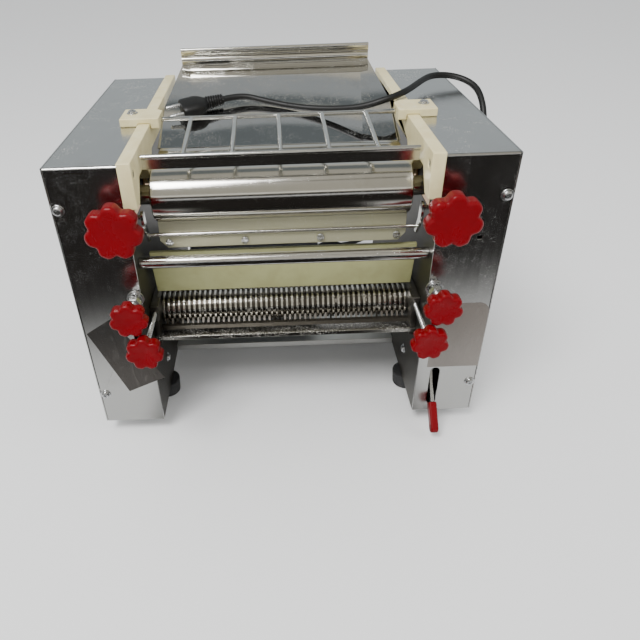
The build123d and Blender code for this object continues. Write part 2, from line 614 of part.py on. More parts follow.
# ---------------------------------------------------------------- cheeks, boards and guard
def cheek_plate(side):
    """A nylon plate at the ends of the rollers; its point reaches into the nip."""
    nip = (FRONT_ROLLER_Y + REAR_ROLLER_Y) / 2
    outline = [
        (CHEEK_FRONT, CHEEK_TOP), (BOX_DEPTH, CHEEK_TOP), (BOX_DEPTH, CHEEK_LOW),
        (nip + 22, CHEEK_LOW), (nip, NIP_DEPTH), (nip - 22, CHEEK_LOW), (28, CHEEK_LOW),
        (12, CHEEK_LOBE_Z), (CHEEK_FRONT, CHEEK_LOBE_Z),
    ]
    plate = slab_x(outline, mirrored(side, (CHEEK_IN, WALL_X)))
    for at in CHEEK_BOLTS:
        plate -= rod_x(CHEEK_BOLT_R + THREAD_FIT, mirrored(side, (CHEEK_IN - 1, WALL_X + 1)), at)
        sink = mirrored(side, (CHEEK_IN - 1, CHEEK_IN + 1 + CHEEK_BOLT_HEAD))
        plate -= rod_x(CHEEK_BOLT_HEAD_R + THREAD_FIT, sink, at)
    return plate


def guard_block(side):
    """A nylon block that holds one end of the guard's rear rod."""
    near, far = GUARD_BLOCK_X
    outline = [
        (near, GUARD_BLOCK_TOP), (far, GUARD_BLOCK_TOP), (far, BOX_HEIGHT), (WALL_X, BOX_HEIGHT),
        (WALL_X, CHEEK_TOP), (CHEEK_IN - SEAT_GAP, CHEEK_TOP),
        (CHEEK_IN - SEAT_GAP, GUARD_BLOCK_BOTTOM), (near, GUARD_BLOCK_BOTTOM),
    ]
    body = slab_y([(side * x, z) for x, z in outline], GUARD_BLOCK_Y)
    height = GUARD_BLOCK_TOP - GUARD_BLOCK_BOTTOM
    corner = Rot(0, 0, 45) * Box(GUARD_BLOCK_CORNER, GUARD_BLOCK_CORNER, 3 * height)
    body -= Pos(side * near, GUARD_BLOCK_Y[1], GUARD_BLOCK_TOP) * corner
    hole = mirrored(side, (near - 1, GUARD_HALF + SEAT_GAP))
    body -= rod_x(GUARD_ROD_R + RUN_FIT, hole, GUARD_REAR)
    screw = (side * GUARD_SCREW[0], GUARD_SCREW[1])
    return body - rod_z(SCREW_R + THREAD_FIT, (BOX_HEIGHT - 1, GUARD_BLOCK_TOP + 1), screw)


def guard_grille():
    """The hinged wire guard over the rollers, with its front strip."""
    grille = rod_x(GUARD_ROD_R, (-GUARD_HALF, GUARD_HALF), GUARD_FRONT)
    grille += rod_x(GUARD_ROD_R, (-GUARD_HALF, GUARD_HALF), GUARD_REAR)
    run = Vector(0, GUARD_REAR[0] - GUARD_FRONT[0], GUARD_REAR[1] - GUARD_FRONT[1])
    for x in GUARD_CROSS_X:
        plane = Plane(origin=(x, *GUARD_FRONT), z_dir=run)
        grille += plane * Pos(0, 0, run.length / 2) * Cylinder(GUARD_CROSS_R, run.length)
    strip_y = (GUARD_FRONT[0] - GUARD_STRIP_THICK / 2, GUARD_FRONT[0] + GUARD_STRIP_THICK / 2)
    strip_z = (GUARD_FRONT[1] - GUARD_STRIP, GUARD_FRONT[1])
    return grille + block((-GUARD_HALF, GUARD_HALF), strip_y, strip_z)


def board_height(y):
    """Height of the feed board's middle panel."""
    share = (y - BOARD_BOTTOM[0]) / (BOARD_TOP[0] - BOARD_BOTTOM[0])
    return BOARD_BOTTOM[1] + share * (BOARD_TOP[1] - BOARD_BOTTOM[1])


def feed_board():
    """The sloping steel board behind the rollers, with two folded wings and a hem."""
    outer = CHEEK_IN - SEAT_GAP
    low, high = BOARD_BOTTOM[0], BOARD_TOP[0]
    middle = [
        (-BOARD_FOLD_TOP_X, high, board_height(high)), (BOARD_FOLD_TOP_X, high, board_height(high)),
        (BOARD_FOLD_BOTTOM_X, low, board_height(low)), (-BOARD_FOLD_BOTTOM_X, low, board_height(low)),
    ]
    board = extrude(Face(Wire.make_polygon(middle)), amount=BOARD_THIN, dir=(0, 0, 1))

    def fold_x(y):
        share = (y - low) / (high - low)
        return BOARD_FOLD_BOTTOM_X + share * (BOARD_FOLD_TOP_X - BOARD_FOLD_BOTTOM_X)

    def wing_height(x, y):
        rise = WING_LIFT / (outer - BOARD_FOLD_BOTTOM_X)
        return board_height(y) + (x - fold_x(y)) * rise

    for side in (-1, 1):
        corners = [
            (fold_x(high), high), (BOARD_TOP_X, high), (outer, WING_MEETS_Y),
            (outer, low), (fold_x(low), low),
        ]
        points = [(side * x, y, wing_height(x, y)) for x, y in corners]
        board += extrude(Face(Wire.make_polygon(points)), amount=BOARD_THIN, dir=(0, 0, 1))
    hem_low = board_height(high) - 0.5
    roll_z = HEM_TOP - HEM_ROLL_R
    hem = block((-BOARD_TOP_X, BOARD_TOP_X), (high - BOARD_THIN, high), (hem_low, roll_z))
    roll = rod_x(HEM_ROLL_R, (-BOARD_TOP_X, BOARD_TOP_X), (high, roll_z))
    return board + hem + roll


def guide_board():
    """The nylon board that leads the dough sheet to the cutter."""
    bottom = CUTTER_PLATE_TOP + SEAT_GAP
    front = [GUIDE_TOP, (GUIDE_BOTTOM_Y, bottom)]
    outline = front + [(GUIDE_BOTTOM_Y + GUIDE_THICK, bottom), (GUIDE_TOP[0] + GUIDE_THICK, GUIDE_TOP[1])]
    return slab_x(outline, (-GUIDE_HALF, GUIDE_HALF))


def front_apron():
    """The sheet under the front cutter roller that catches flour."""
    lip, end = APRON_LIP, APRON_END
    sheet = [lip, end, (end[0], end[1] - SHEET), (lip[0], lip[1] - SHEET)]
    inner, outer = CUTTER_PLATE_IN - SEAT_GAP, WALL_X - SEAT_GAP
    hem = block((-outer, outer), (lip[0] - SHEET, lip[0] + SHEET), (lip[1] - APRON_HEM, lip[1]))
    return slab_x(sheet, (-inner, inner)) + hem


# ---------------------------------------------------------------- scraper
def scraper_top():
    """Where the blade's edge lies under the front roller."""
    turn = math.radians(SCRAPER_TOP_ANGLE)
    reach = ROLLER_R + SEAT_GAP
    return (FRONT_ROLLER_Y + reach * math.cos(turn), ROLLER_Z + reach * math.sin(turn))


def scraper_face_y(z):
    """Front face of the blade at a height."""
    top = scraper_top()
    share = (z - SCRAPER_LOW[1]) / (top[1] - SCRAPER_LOW[1])
    return SCRAPER_LOW[0] + share * (top[0] - SCRAPER_LOW[0])


def scraper_blade():
    """The strip under the front roller, with chamfered ends."""
    top = scraper_top()
    corners = [
        (-SCRAPER_TOP_HALF, SCRAPER_LOW[1] + 8), (-SCRAPER_TOP_HALF, top[1]),
        (SCRAPER_TOP_HALF, top[1]), (SCRAPER_TOP_HALF, SCRAPER_LOW[1] + 8),
        (SCRAPER_LOW_HALF, SCRAPER_LOW[1]), (-SCRAPER_LOW_HALF, SCRAPER_LOW[1]),
    ]
    points = [(x, scraper_face_y(z), z) for x, z in corners]
    blade = extrude(Face(Wire.make_polygon(points)), amount=SCRAPER_THICK, dir=(0, 1, 0))
    blade -= rod_x(ROLLER_R + SEAT_GAP, (-WALL_X, WALL_X), FRONT_ROLLER)
    for x in SCRAPER_SCREW_X:
        blade -= rod_y(1.6, (0, 90), (x, SCRAPER_SCREW_Z))
    return blade


def scraper_hanger():
    """The rod along the blade and the two arms that swing it."""
    rod_y_at = scraper_face_y(HANGER_ROD_Z) - HANGER_ROD_R - RUN_FIT
    rod_at = (rod_y_at, HANGER_ROD_Z)
    hanger = rod_x(HANGER_ROD_R, (-HANGER_X - 1, HANGER_X + 1), rod_at)
    for side in (-1, 1):
        arm_x = mirrored(side, (HANGER_X, HANGER_X + HANGER_THICK))
        half = HANGER_WIDTH / 2
        low = (rod_at[0] + 0.5, rod_at[1] - 6)
        outline = [
            (HANGER_PIVOT[0] - half, HANGER_PIVOT[1] + 2),
            (HANGER_PIVOT[0] - half + 1, HANGER_PIVOT[1] - 14),
            (low[0] - half + 1, low[1]), (low[0] + half - 2, low[1]),
            (HANGER_PIVOT[0] + half + 2, HANGER_PIVOT[1] - 14),
            (HANGER_PIVOT[0] + half, HANGER_PIVOT[1] + 2),
        ]
        hanger += slab_x(outline, arm_x)
        hanger += rod_x(half, arm_x, (HANGER_PIVOT[0], HANGER_PIVOT[1] + 2))
        pin = mirrored(side, (HANGER_X, WALL_X + HANGER_PIN_DEPTH))
        hanger += rod_x(HANGER_PIN_R, pin, HANGER_PIVOT)
    return hanger


def scraper_screw(x):
    """A slotted screw that holds the scraping edge to the blade."""
    seat = scraper_face_y(SCRAPER_SCREW_Z)
    lean = SCRAPER_SCREW_R * (scraper_face_y(1.0) - scraper_face_y(0.0)) + RUN_FIT
    seat -= lean
    head = rod_y(SCRAPER_SCREW_R, (seat - 2.2, seat), (x, SCRAPER_SCREW_Z))
    shank = rod_y(1.5, (seat - 1, seat + SCRAPER_THICK + 2), (x, SCRAPER_SCREW_Z))
    slot = block((x - 5, x + 5), (seat - 3, seat - 1.4), (SCRAPER_SCREW_Z - 0.5, SCRAPER_SCREW_Z + 0.5))
    return head + shank - slot


# ---------------------------------------------------------------- rollers and bearings
def press_roller(at, left_end, right_end):
    """A smooth roller with a shoulder and a journal at each end."""
    roller = rod_x(ROLLER_R, (-ROLLER_HALF, ROLLER_HALF), at)
    roller = chamfer(roller.edges().filter_by(GeomType.CIRCLE), 1.0)
    roller += rod_x(ROLLER_STEP_R, (-ROLLER_HALF - 3, ROLLER_HALF + 3), at)
    return roller + rod_x(JOURNAL_R, (-left_end, right_end), at)


def bearing_block(side):
    """The sliding bearing of the front roller."""
    y = (FRONT_ROLLER_Y - BLOCK_Y / 2, FRONT_ROLLER_Y + BLOCK_Y / 2)
    z = (ROLLER_Z - BLOCK_Z / 2, ROLLER_Z + BLOCK_Z / 2)
    body = block(mirrored(side, (WALL_X, FRAME_OUT)), y, z)
    body -= rod_y(GAP_SCREW_R + THREAD_FIT, (y[0] - 1, FRONT_ROLLER_Y), (side * SCREW_X, ROLLER_Z))
    return body - rod_x(JOURNAL_R + RUN_FIT, mirrored(side, (WALL_X - 1, FRAME_OUT + 1)), FRONT_ROLLER)


def flanged_bush(side, at, bore, radius):
    """A bronze bush pressed in a frame plate from inside."""
    body = rod_x(radius - RUN_FIT, mirrored(side, (WALL_X, FRAME_OUT)), at)
    flange = mirrored(side, (WALL_X - BUSH_FLANGE, WALL_X))
    body += rod_x(radius + BUSH_LIP, flange, at)
    return body - rod_x(bore + RUN_FIT, mirrored(side, (WALL_X - 5, FRAME_OUT + 1)), at)


def shaft_bushes():
    bushes = [flanged_bush(side, REAR_ROLLER, JOURNAL_R, BUSH_R) for side in (-1, 1)]
    return bushes + [flanged_bush(-1, LAYSHAFT, LAYSHAFT_R, BUSH_R - 3)]


# ---------------------------------------------------------------- cutter
def land_centres(count):
    """Middles of a cutter roller's lands."""
    return [(step - (count - 1) / 2) * LAND_PITCH for step in range(count)]


def cutter_roller(at, count, left_end, right_end):
    """A grooved roller: a core with a row of lands, and a journal at each end."""
    half_land = LAND_PITCH / 4 - LAND_PLAY / 2
    half = FRONT_LANDS * LAND_PITCH / 2 - LAND_PITCH / 4 + LAND_PLAY
    core = CUTTER_R - GROOVE_DEPTH
    profile = [(-half, 0), (-half, core)]
    for centre in land_centres(count):
        low, high = centre - half_land, centre + half_land
        profile += [(low, core), (low, CUTTER_R), (high, CUTTER_R), (high, core)]
    profile += [(half, core), (half, 0)]
    face = Face(Wire.make_polygon([(x, at[0], at[1] + r) for x, r in profile]))
    roller = revolve(face, Axis((0, at[0], at[1]), (1, 0, 0)), 360)
    return roller + rod_x(CUTTER_JOURNAL_R, (-left_end, right_end), at)


def cutter_plate(side):
    """A side plate of the cutter, with a boss for its clamping screw."""
    x = mirrored(side, (CUTTER_PLATE_IN, CUTTER_PLATE_OUT))
    y = (CUTTER_PLATE_FRONT, REAR_CUTTER_Y + CUTTER_PLATE_BEHIND)
    plate = block(x, y, (CUTTER_PLATE_BOTTOM, CUTTER_PLATE_TOP))
    boss_x = mirrored(side, (CUTTER_PLATE_OUT - CUTTER_BOSS, CUTTER_PLATE_OUT))
    boss_z = (CUTTER_SCREW_Z - 9, CUTTER_PLATE_TOP)
    plate += block(boss_x, (CUTTER_BOSS_FRONT, CUTTER_PLATE_FRONT + 14), boss_z)
    for at in (FRONT_CUTTER, REAR_CUTTER):
        plate -= rod_x(CUTTER_JOURNAL_R + RUN_FIT, mirrored(side, (WALL_X, CUTTER_PLATE_IN - 5)), at)
    hole = (CUTTER_BOSS_FRONT - 1, CUTTER_SCREW_END + SEAT_GAP)
    return plate - rod_y(CUTTER_SCREW_R + THREAD_FIT, hole, (side * CUTTER_SCREW_X, CUTTER_SCREW_Z))


def comb(at, count, direction):
    """A bar with one finger in each groove of a cutter roller."""
    middle = FRONT_CUTTER_Y
    bar_y = [at[0] + direction * (value - middle) for value in COMB_BAR[:2]]
    half = CUTTER_PLATE_IN - SEAT_GAP
    body = block((-half, half), bar_y, COMB_BAR[2:])
    turn = math.radians(COMB_TIP_ANGLE)
    tip = (at[0] + direction * COMB_TIP_R * math.cos(turn), at[1] + COMB_TIP_R * math.sin(turn))
    root = (at[0] + direction * (COMB_BAR[1] - 1 - middle), COMB_BAR[3] - 1)
    outline = [root, (root[0], root[1] - 2.5), (tip[0], tip[1] - 1.0), tip]
    for centre in land_centres(count - 1):
        body += slab_x(outline, (centre - COMB_TOOTH / 2, centre + COMB_TOOTH / 2))
    return body


# ---------------------------------------------------------------- drive
def layshaft():
    """The belt shaft with its large pulley."""
    shaft = rod_x(LAYSHAFT_R, (-PULLEY_X - PULLEY_W - 2, -WALL_X + 3), LAYSHAFT)
    return shaft + v_pulley(PULLEY_R, LAYSHAFT_R - 1, LAYSHAFT)


def v_pulley(radius, bore, at):
    """A pulley with one belt groove; radius is where the belt's inside runs."""
    x = (-PULLEY_X - PULLEY_W, -PULLEY_X)
    rim = radius + BELT_H + BELT_LIP
    middle = -PULLEY_X - PULLEY_W / 2
    floor = radius - RUN_FIT * 2
    low, high = middle - BELT_W / 2 - RUN_FIT * 2, middle + BELT_W / 2 + RUN_FIT * 2
    profile = [
        (x[0], 0), (x[0], rim), (low - GROOVE_FLARE, rim), (low, floor),
        (high, floor), (high + GROOVE_FLARE, rim), (x[1], rim), (x[1], 0),
    ]
    face = Face(Wire.make_polygon([(px, at[0], at[1] + r) for px, r in profile]))
    pulley = revolve(face, Axis((0, at[0], at[1]), (1, 0, 0)), 360)
    return pulley - rod_x(bore, (x[0] - 1, x[1] + 1), at)


def belt_loop(extra):
    """The outline round both pulleys, as one solid of the belt's width."""
    middle = -PULLEY_X - PULLEY_W / 2
    x = (middle - BELT_W / 2, middle + BELT_W / 2)
    big, small = PULLEY_R + extra, MOTOR_PULLEY_R + extra
    length = math.dist(LAYSHAFT, MOTOR_AT)
    along = math.atan2(MOTOR_AT[1] - LAYSHAFT[1], MOTOR_AT[0] - LAYSHAFT[0])
    open_angle = math.acos((big - small) / length)
    points = []
    for turn in (open_angle, -open_angle):
        pair = [from_point(LAYSHAFT, big, math.degrees(along + turn))]
        pair.append(from_point(MOTOR_AT, small, math.degrees(along + turn)))
        points += pair if turn > 0 else reversed(pair)
    return slab_x(points, x) + rod_x(big, x, LAYSHAFT) + rod_x(small, x, MOTOR_AT)


def motor_body():
    """The motor with its feet; its shaft runs in the bore."""
    body = rod_x(MOTOR_R, MOTOR_X, MOTOR_AT)
    body = fillet(body.edges().filter_by(GeomType.CIRCLE), 6.0)
    body += rod_x(18.0, (MOTOR_X[0] - 6, MOTOR_X[0] + 2), MOTOR_AT)
    foot_x = (MOTOR_X[0] + 18, MOTOR_X[1] - 18)
    body += block(foot_x, (MOTOR_AT[0] - 50, MOTOR_AT[0] + 50), (BASE_THICK, BASE_THICK + MOTOR_FOOT))
    body += block(foot_x, (MOTOR_AT[0] - 30, MOTOR_AT[0] + 30), (BASE_THICK, MOTOR_AT[1] - MOTOR_R + 10))
    for at in motor_feet():
        body -= rod_z(SCREW_R + THREAD_FIT, (0, BASE_THICK + MOTOR_FOOT + 1), at)
    bore = (MOTOR_X[0] - 7, MOTOR_X[0] + MOTOR_BORE)
    return body - rod_x(MOTOR_SHAFT_R + RUN_FIT, bore, MOTOR_AT)


def motor_pulley():
    """The small pulley on the motor's shaft."""
    shaft = rod_x(MOTOR_SHAFT_R, (-PULLEY_X - PULLEY_W - 2, MOTOR_X[0] + MOTOR_BORE - 1), MOTOR_AT)
    return v_pulley(MOTOR_PULLEY_R, MOTOR_SHAFT_R - 1, MOTOR_AT) + shaft


# ---------------------------------------------------------------- clutch lever
def bar_between(start, end, half, x):
    """A flat bar with square ends between two (y, z) points."""
    turn = math.atan2(end[1] - start[1], end[0] - start[0])
    step = (-math.sin(turn) * half, math.cos(turn) * half)
    outline = [
        (start[0] + step[0], start[1] + step[1]), (end[0] + step[0], end[1] + step[1]),
        (end[0] - step[0], end[1] - step[1]), (start[0] - step[0], start[1] - step[1]),
    ]
    return slab_x(outline, x)


def on_tail(distance):
    """A point on the middle line of the lever's outer end, from its knee."""
    return from_point(LEVER_KNEE, distance, LEVER_ANGLE)


def clutch_lever():
    """The flat cranked lever with a hub on its stub axle and an axle for the swing gear."""
    x = (LEVER_X, LEVER_X + LEVER_THICK)
    lever = bar_between(LEVER_PIVOT, LEVER_KNEE, LEVER_BAR / 2, x)
    lever += bar_between(LEVER_KNEE, on_tail(LEVER_TAIL), LEVER_BAR / 2, x)
    lever += rod_x(LEVER_BAR / 2, x, LEVER_KNEE)
    lever += bar_between(LEVER_PIVOT, SWING, LEVER_ARM_R, x) + rod_x(LEVER_ARM_R, x, SWING)
    lever += rod_x(LEVER_HUB_R, (FRAME_OUT + SEAT_GAP, x[1]), LEVER_PIVOT)
    lever += rod_x(SWING_AXLE_R, (x[0], TAKEOFF_X + TAKEOFF_W + 0.6), SWING)
    return lever - rod_x(STUB_R + RUN_FIT, (FRAME_OUT - 1, x[1] + 4), LEVER_PIVOT)


def lever_grip():
    """The plastic sleeve over the lever's end."""
    middle = LEVER_X + LEVER_THICK / 2
    x = (middle - GRIP_THICK / 2, middle + GRIP_THICK / 2)
    end = on_tail(LEVER_TAIL + GRIP_END)
    sleeve = bar_between(on_tail(LEVER_TAIL - GRIP_LENGTH), end, GRIP_WIDTH / 2, x)
    sleeve += rod_x(GRIP_WIDTH / 2, x, end)
    hole = (LEVER_X - THREAD_FIT, LEVER_X + LEVER_THICK + THREAD_FIT)
    bar = bar_between(LEVER_KNEE, on_tail(LEVER_TAIL + THREAD_FIT), LEVER_BAR / 2 + THREAD_FIT, hole)
    return sleeve - bar


# ---------------------------------------------------------------- knobs
def star_knob(at, face, size, screw_r, screw_end):
    """A moulded star knob on its screw; at is the screw's (x, z)."""
    ring = size["radius"] - size["lobe"]
    sketch = Circle(ring + size["lobe"] * 0.3)
    sketch += PolarLocations(ring, LOBES, start_angle=90) * Circle(size["lobe"])
    sketch = fillet(sketch.vertices(), size["lobe"] * 0.45)
    star = extrude(sketch, amount=size["thick"])
    star = chamfer(star.faces().sort_by(Axis.Z)[0].edges(), 1.0)
    hub = Pos(0, 0, size["thick"] + size["hub_length"] / 2) * Cylinder(size["hub"], size["hub_length"])
    body = Pos(at[0], face, at[1]) * Rot(-90, 0, 0) * (star + hub)
    return body + rod_y(screw_r, (face + 5, screw_end), at)


def gap_knob(side):
    end = FRONT_ROLLER_Y - BLOCK_Y / 2 + SCREW_HOLD
    return star_knob((side * SCREW_X, ROLLER_Z), BIG_KNOB["face"], BIG_KNOB, GAP_SCREW_R, end)


def board_knob(side):
    at = (side * SCREW_X, BOARD_SCREW_Z)
    return star_knob(at, BOARD_KNOB_FACE, SMALL_KNOB, BOARD_SCREW_R, BOARD_SCREW_DEPTH)


def lock_nut(side):
    """The nut, collar and washer on a board knob's screw."""
    at = (side * SCREW_X, BOARD_SCREW_Z)
    washer_end = -NUT_WASHER[1]
    collar_end = washer_end - NUT_COLLAR[1]
    stack = rod_y(NUT_WASHER[0], (washer_end, 0), at) + rod_y(NUT_COLLAR[0], (collar_end, washer_end), at)
    nut = extrude(RegularPolygon(NUT_ACROSS / 2, 6, major_radius=False), amount=NUT_THICK)
    stack += Pos(at[0], collar_end, at[1]) * Rot(90, 0, 0) * nut
    return stack - rod_y(BOARD_SCREW_R + THREAD_FIT, (collar_end - NUT_THICK - 1, 1), at)


def cutter_knob(side):
    at = (side * CUTTER_SCREW_X, CUTTER_SCREW_Z)
    return star_knob(at, CUTTER_KNOB_FACE, SMALL_KNOB, CUTTER_SCREW_R, CUTTER_SCREW_END)


# ---------------------------------------------------------------- switch and cord
def around(centre, half):
    """The span of the given half width about a centre."""
    return (centre - half, centre + half)


def switch_housing():
    """The switch body in the right rear, with an open face for its rocker."""
    half_width, half_height = SWITCH_BODY[0] / 2, SWITCH_BODY[1] / 2
    x, z = SWITCH_AT
    body = block(around(x, half_width), (BOX_DEPTH - SWITCH_DEPTH, BOX_DEPTH), around(z, half_height))
    flange_x = around(x, half_width + SWITCH_RIM)
    flange_z = around(z, half_height + SWITCH_RIM)
    body += block(flange_x, (BOX_DEPTH, BOX_DEPTH + SWITCH_FLANGE), flange_z)
    well = (BOX_DEPTH - SWITCH_WELL, BOX_DEPTH + SWITCH_FLANGE + 1)
    body -= block(around(x, half_width - SWITCH_WALL), well, around(z, half_height - SWITCH_WALL))
    pin = around(x, half_width - SWITCH_WALL + ROCKER_PIN + SEAT_GAP)
    return body - rod_x(ROCKER_PIN_R + RUN_FIT, pin, (ROCKER_AXIS_Y, z))


def switch_rocker():
    """The rocker, which tips about the two pins at its middle."""
    half_width, half_height = SWITCH_BODY[0] / 2, SWITCH_BODY[1] / 2
    x, z = SWITCH_AT
    half = half_height - SWITCH_WALL - ROCKER_PLAY - 0.7
    face = BOX_DEPTH + SWITCH_FLANGE
    outline = [
        (face - 1.5, z - half), (face + 0.2, z), (face - 1.5, z + half), (ROCKER_AXIS_Y - 2.0, z + half - 1),
        (ROCKER_AXIS_Y - 4.0, z), (ROCKER_AXIS_Y - 2.0, z - half + 1),
    ]
    rocker = slab_x(outline, around(x, half_width - SWITCH_WALL - ROCKER_PLAY))
    pin = around(x, half_width - SWITCH_WALL + ROCKER_PIN)
    return rocker + rod_x(ROCKER_PIN_R, pin, (ROCKER_AXIS_Y, z))


def cord_gland():
    """The gland in the rear of the right box, with its tapered strain relief."""
    nut = rod_y(GLAND_NUT_R, (BOX_DEPTH, BOX_DEPTH + GLAND_NUT), GLAND_AT)
    neck = rod_y(GLAND_R - 2, (BOX_DEPTH - 8, BOX_DEPTH + 1), GLAND_AT)
    start = BOX_DEPTH + GLAND_NUT
    relief = Cone(GLAND_R - 1.5, CORD_R + 1.3, GLAND_LENGTH - GLAND_NUT)
    relief = Pos(GLAND_AT[0], start + (GLAND_LENGTH - GLAND_NUT) / 2, GLAND_AT[1]) * Rot(-90, 0, 0) * relief
    return nut + neck + relief


def cord_tube(points, name):
    """A tube of straight runs joined by arcs as large as their runs allow."""
    path = [Vector(*point) for point in points]
    radii = []
    for before, corner, after in zip(path, path[1:], path[2:]):
        run = min((corner - before).length, (after - corner).length)
        turn = math.radians((corner - before).get_angle(after - corner))
        radii.append(0.45 * run / math.tan(turn / 2))
    print(name, "smallest radius", round(min(radii), 1), "mm, radii", [round(r) for r in radii])
    line = FilletPolyline(*path, radius=radii)
    section = Plane(origin=line @ 0, z_dir=line % 0) * Circle(CORD_R)
    tube = sweep(section, path=line)
    expected = math.pi * CORD_R ** 2 * line.length
    print(name, "length", round(line.length), "mm, volume share", round(tube.volume / expected, 4))
    return tube


def cord_coil():
    """The ring that the coiled length of the cord fills."""
    bottom = FLOOR
    outer = Pos(COIL_MIDDLE[0], COIL_MIDDLE[1], bottom + COIL_HEIGHT / 2)
    ring = outer * Cylinder(COIL_TURN_R + COIL_RING, COIL_HEIGHT)
    return ring - outer * Cylinder(COIL_TURN_R - COIL_RING, COIL_HEIGHT + 1)


def power_plug():
    """A moulded plug with two round pins and a ribbed grip."""
    length, width, height = PLUG_BODY
    grip = Pos(0, 0, PLUG_GRIP / 2) * Cone(CORD_R + 1.8, height / 2 - 1.5, PLUG_GRIP)
    body = Pos(0, 0, PLUG_GRIP + length / 2) * Box(height, width, length)
    body = fillet(body.edges().filter_by(Axis.Z), 6.0)
    plug = grip + body
    for side in (-1, 1):
        pin = Cylinder(PLUG_PIN_R, PLUG_PIN)
        plug += Pos(0, side * PLUG_PIN_GAP / 2, PLUG_GRIP + length + PLUG_PIN / 2 - 0.5) * pin
    before, start = Vector(*CORD_LEAD[-2]), Vector(*CORD_LEAD[-1])
    rise = (BOARD_TOP[1] - BOARD_BOTTOM[1]) / (BOARD_TOP[0] - BOARD_BOTTOM[0])
    along = (start - before).normalized()
    across = along.cross(Vector(0, -rise, 1)).normalized()
    return Plane(origin=start, z_dir=along, x_dir=across.cross(along) * -1) * plug


# ---------------------------------------------------------------- build
def build_frame():
    save("left_frame_plate", frame_plate(-1))
    save("right_frame_plate", frame_plate(1))
    save("base_plate", base_plate())
    save("tie_rods", *[tie_rod(at) for at in [FRONT_TIE] + REAR_TIES])
    for side, word in ((-1, "left"), (1, "right")):
        save(f"{word}_box_shell", box_shell(side))
        save(f"{word}_side_panel", side_panel(side))
        save(f"{word}_cheek_plate", cheek_plate(side))
        save(f"{word}_guard_block", guard_block(side))
        save(f"{word}_cutter_plate", cutter_plate(side))
    save("machine_screws", *machine_screws())
    save("rubber_feet", *[foot(side, y) for side in (-1, 1) for y in FOOT_Y])
    save("feed_board", feed_board())
    save("guide_board", guide_board())
    save("front_apron", front_apron())
    save("guard_grille", guard_grille())


def build_press():
    left_end = BIG_GEAR_X - 2
    save("front_press_roller", press_roller(FRONT_ROLLER, FRAME_OUT + 0.5, GEAR_INNER + PRESS_GEAR_W + 1))
    save("rear_press_roller", press_roller(REAR_ROLLER, left_end, TAKEOFF_X + TAKEOFF_W + 1))
    save("bearing_blocks", bearing_block(-1), bearing_block(1))
    save("shaft_bushes", *shaft_bushes())
    x = (GEAR_INNER, GEAR_INNER + PRESS_GEAR_W)
    bore = JOURNAL_R + RUN_FIT
    save("rear_roller_gear", gear(PRESS_MODULE, PRESS_TEETH, bore, REAR_ROLLER, x, 0.0))
    phase = mesh_phase(0.0, PRESS_TEETH, REAR_ROLLER, PRESS_TEETH, FRONT_ROLLER)
    save("front_roller_gear", gear(PRESS_MODULE, PRESS_TEETH, bore, FRONT_ROLLER, x, phase))
    save("lock_nuts", lock_nut(-1), lock_nut(1))
    save("scraper_blade", scraper_blade())
    save("scraper_hanger", scraper_hanger())
    save("scraper_screws", *[scraper_screw(x) for x in SCRAPER_SCREW_X])
    for side, word in ((-1, "left"), (1, "right")):
        save(f"{word}_gap_knob", gap_knob(side))
        save(f"{word}_board_knob", board_knob(side))
        save(f"{word}_cutter_knob", cutter_knob(side))


def build_left_drive():
    inner = (-GEAR_INNER - DRIVE_GEAR_W, -GEAR_INNER)
    outer = (-BIG_GEAR_X - DRIVE_GEAR_W, -BIG_GEAR_X)
    bore = JOURNAL_R + RUN_FIT
    save("roller_drive_gear", gear(DRIVE_MODULE, ROLLER_DRIVE_TEETH, bore, REAR_ROLLER, inner, 0.0))
    small_phase = mesh_phase(0.0, ROLLER_DRIVE_TEETH, REAR_ROLLER, SMALL_TEETH, STEP_SHAFT)
    stub = STUB_R + RUN_FIT
    small = gear(DRIVE_MODULE, SMALL_TEETH, stub, STEP_SHAFT, (inner[0] - 4, inner[1]), small_phase)
    big = gear(DRIVE_MODULE, BIG_TEETH, stub, STEP_SHAFT, outer, 0.0)
    save("step_gear", small + big)
    pinion_phase = mesh_phase(0.0, BIG_TEETH, STEP_SHAFT, PINION_TEETH, LAYSHAFT)
    pinion = gear(DRIVE_MODULE, PINION_TEETH, LAYSHAFT_R - 1, LAYSHAFT, outer, pinion_phase)
    save("layshaft", layshaft() + pinion)
    save("motor_body", motor_body())
    save("motor_pulley", motor_pulley())
    save("drive_belt", belt_loop(BELT_H) - belt_loop(RUN_FIT))


def build_cutter():
    gear_end = GEAR_INNER + CUTTER_GEAR_W
    input_end = SWING_GEAR_X + SWING_GEAR_W + 1
    save("front_cutter_roller", cutter_roller(FRONT_CUTTER, FRONT_LANDS, gear_end + 1, input_end))
    save("rear_cutter_roller", cutter_roller(REAR_CUTTER, FRONT_LANDS - 1, gear_end + 1, CUTTER_PLATE_OUT))
    combs = [comb(FRONT_CUTTER, FRONT_LANDS, 1), comb(REAR_CUTTER, FRONT_LANDS - 1, -1)]
    save("noodle_combs", *combs)
    x = (-gear_end, -GEAR_INNER)
    bore = CUTTER_JOURNAL_R + RUN_FIT
    save("rear_cutter_gear", gear(TRAIN_MODULE, CUTTER_TEETH, bore, REAR_CUTTER, x, 0.0))
    phase = mesh_phase(0.0, CUTTER_TEETH, REAR_CUTTER, CUTTER_TEETH, FRONT_CUTTER)
    save("front_cutter_gear", gear(TRAIN_MODULE, CUTTER_TEETH, bore, FRONT_CUTTER, x, phase))


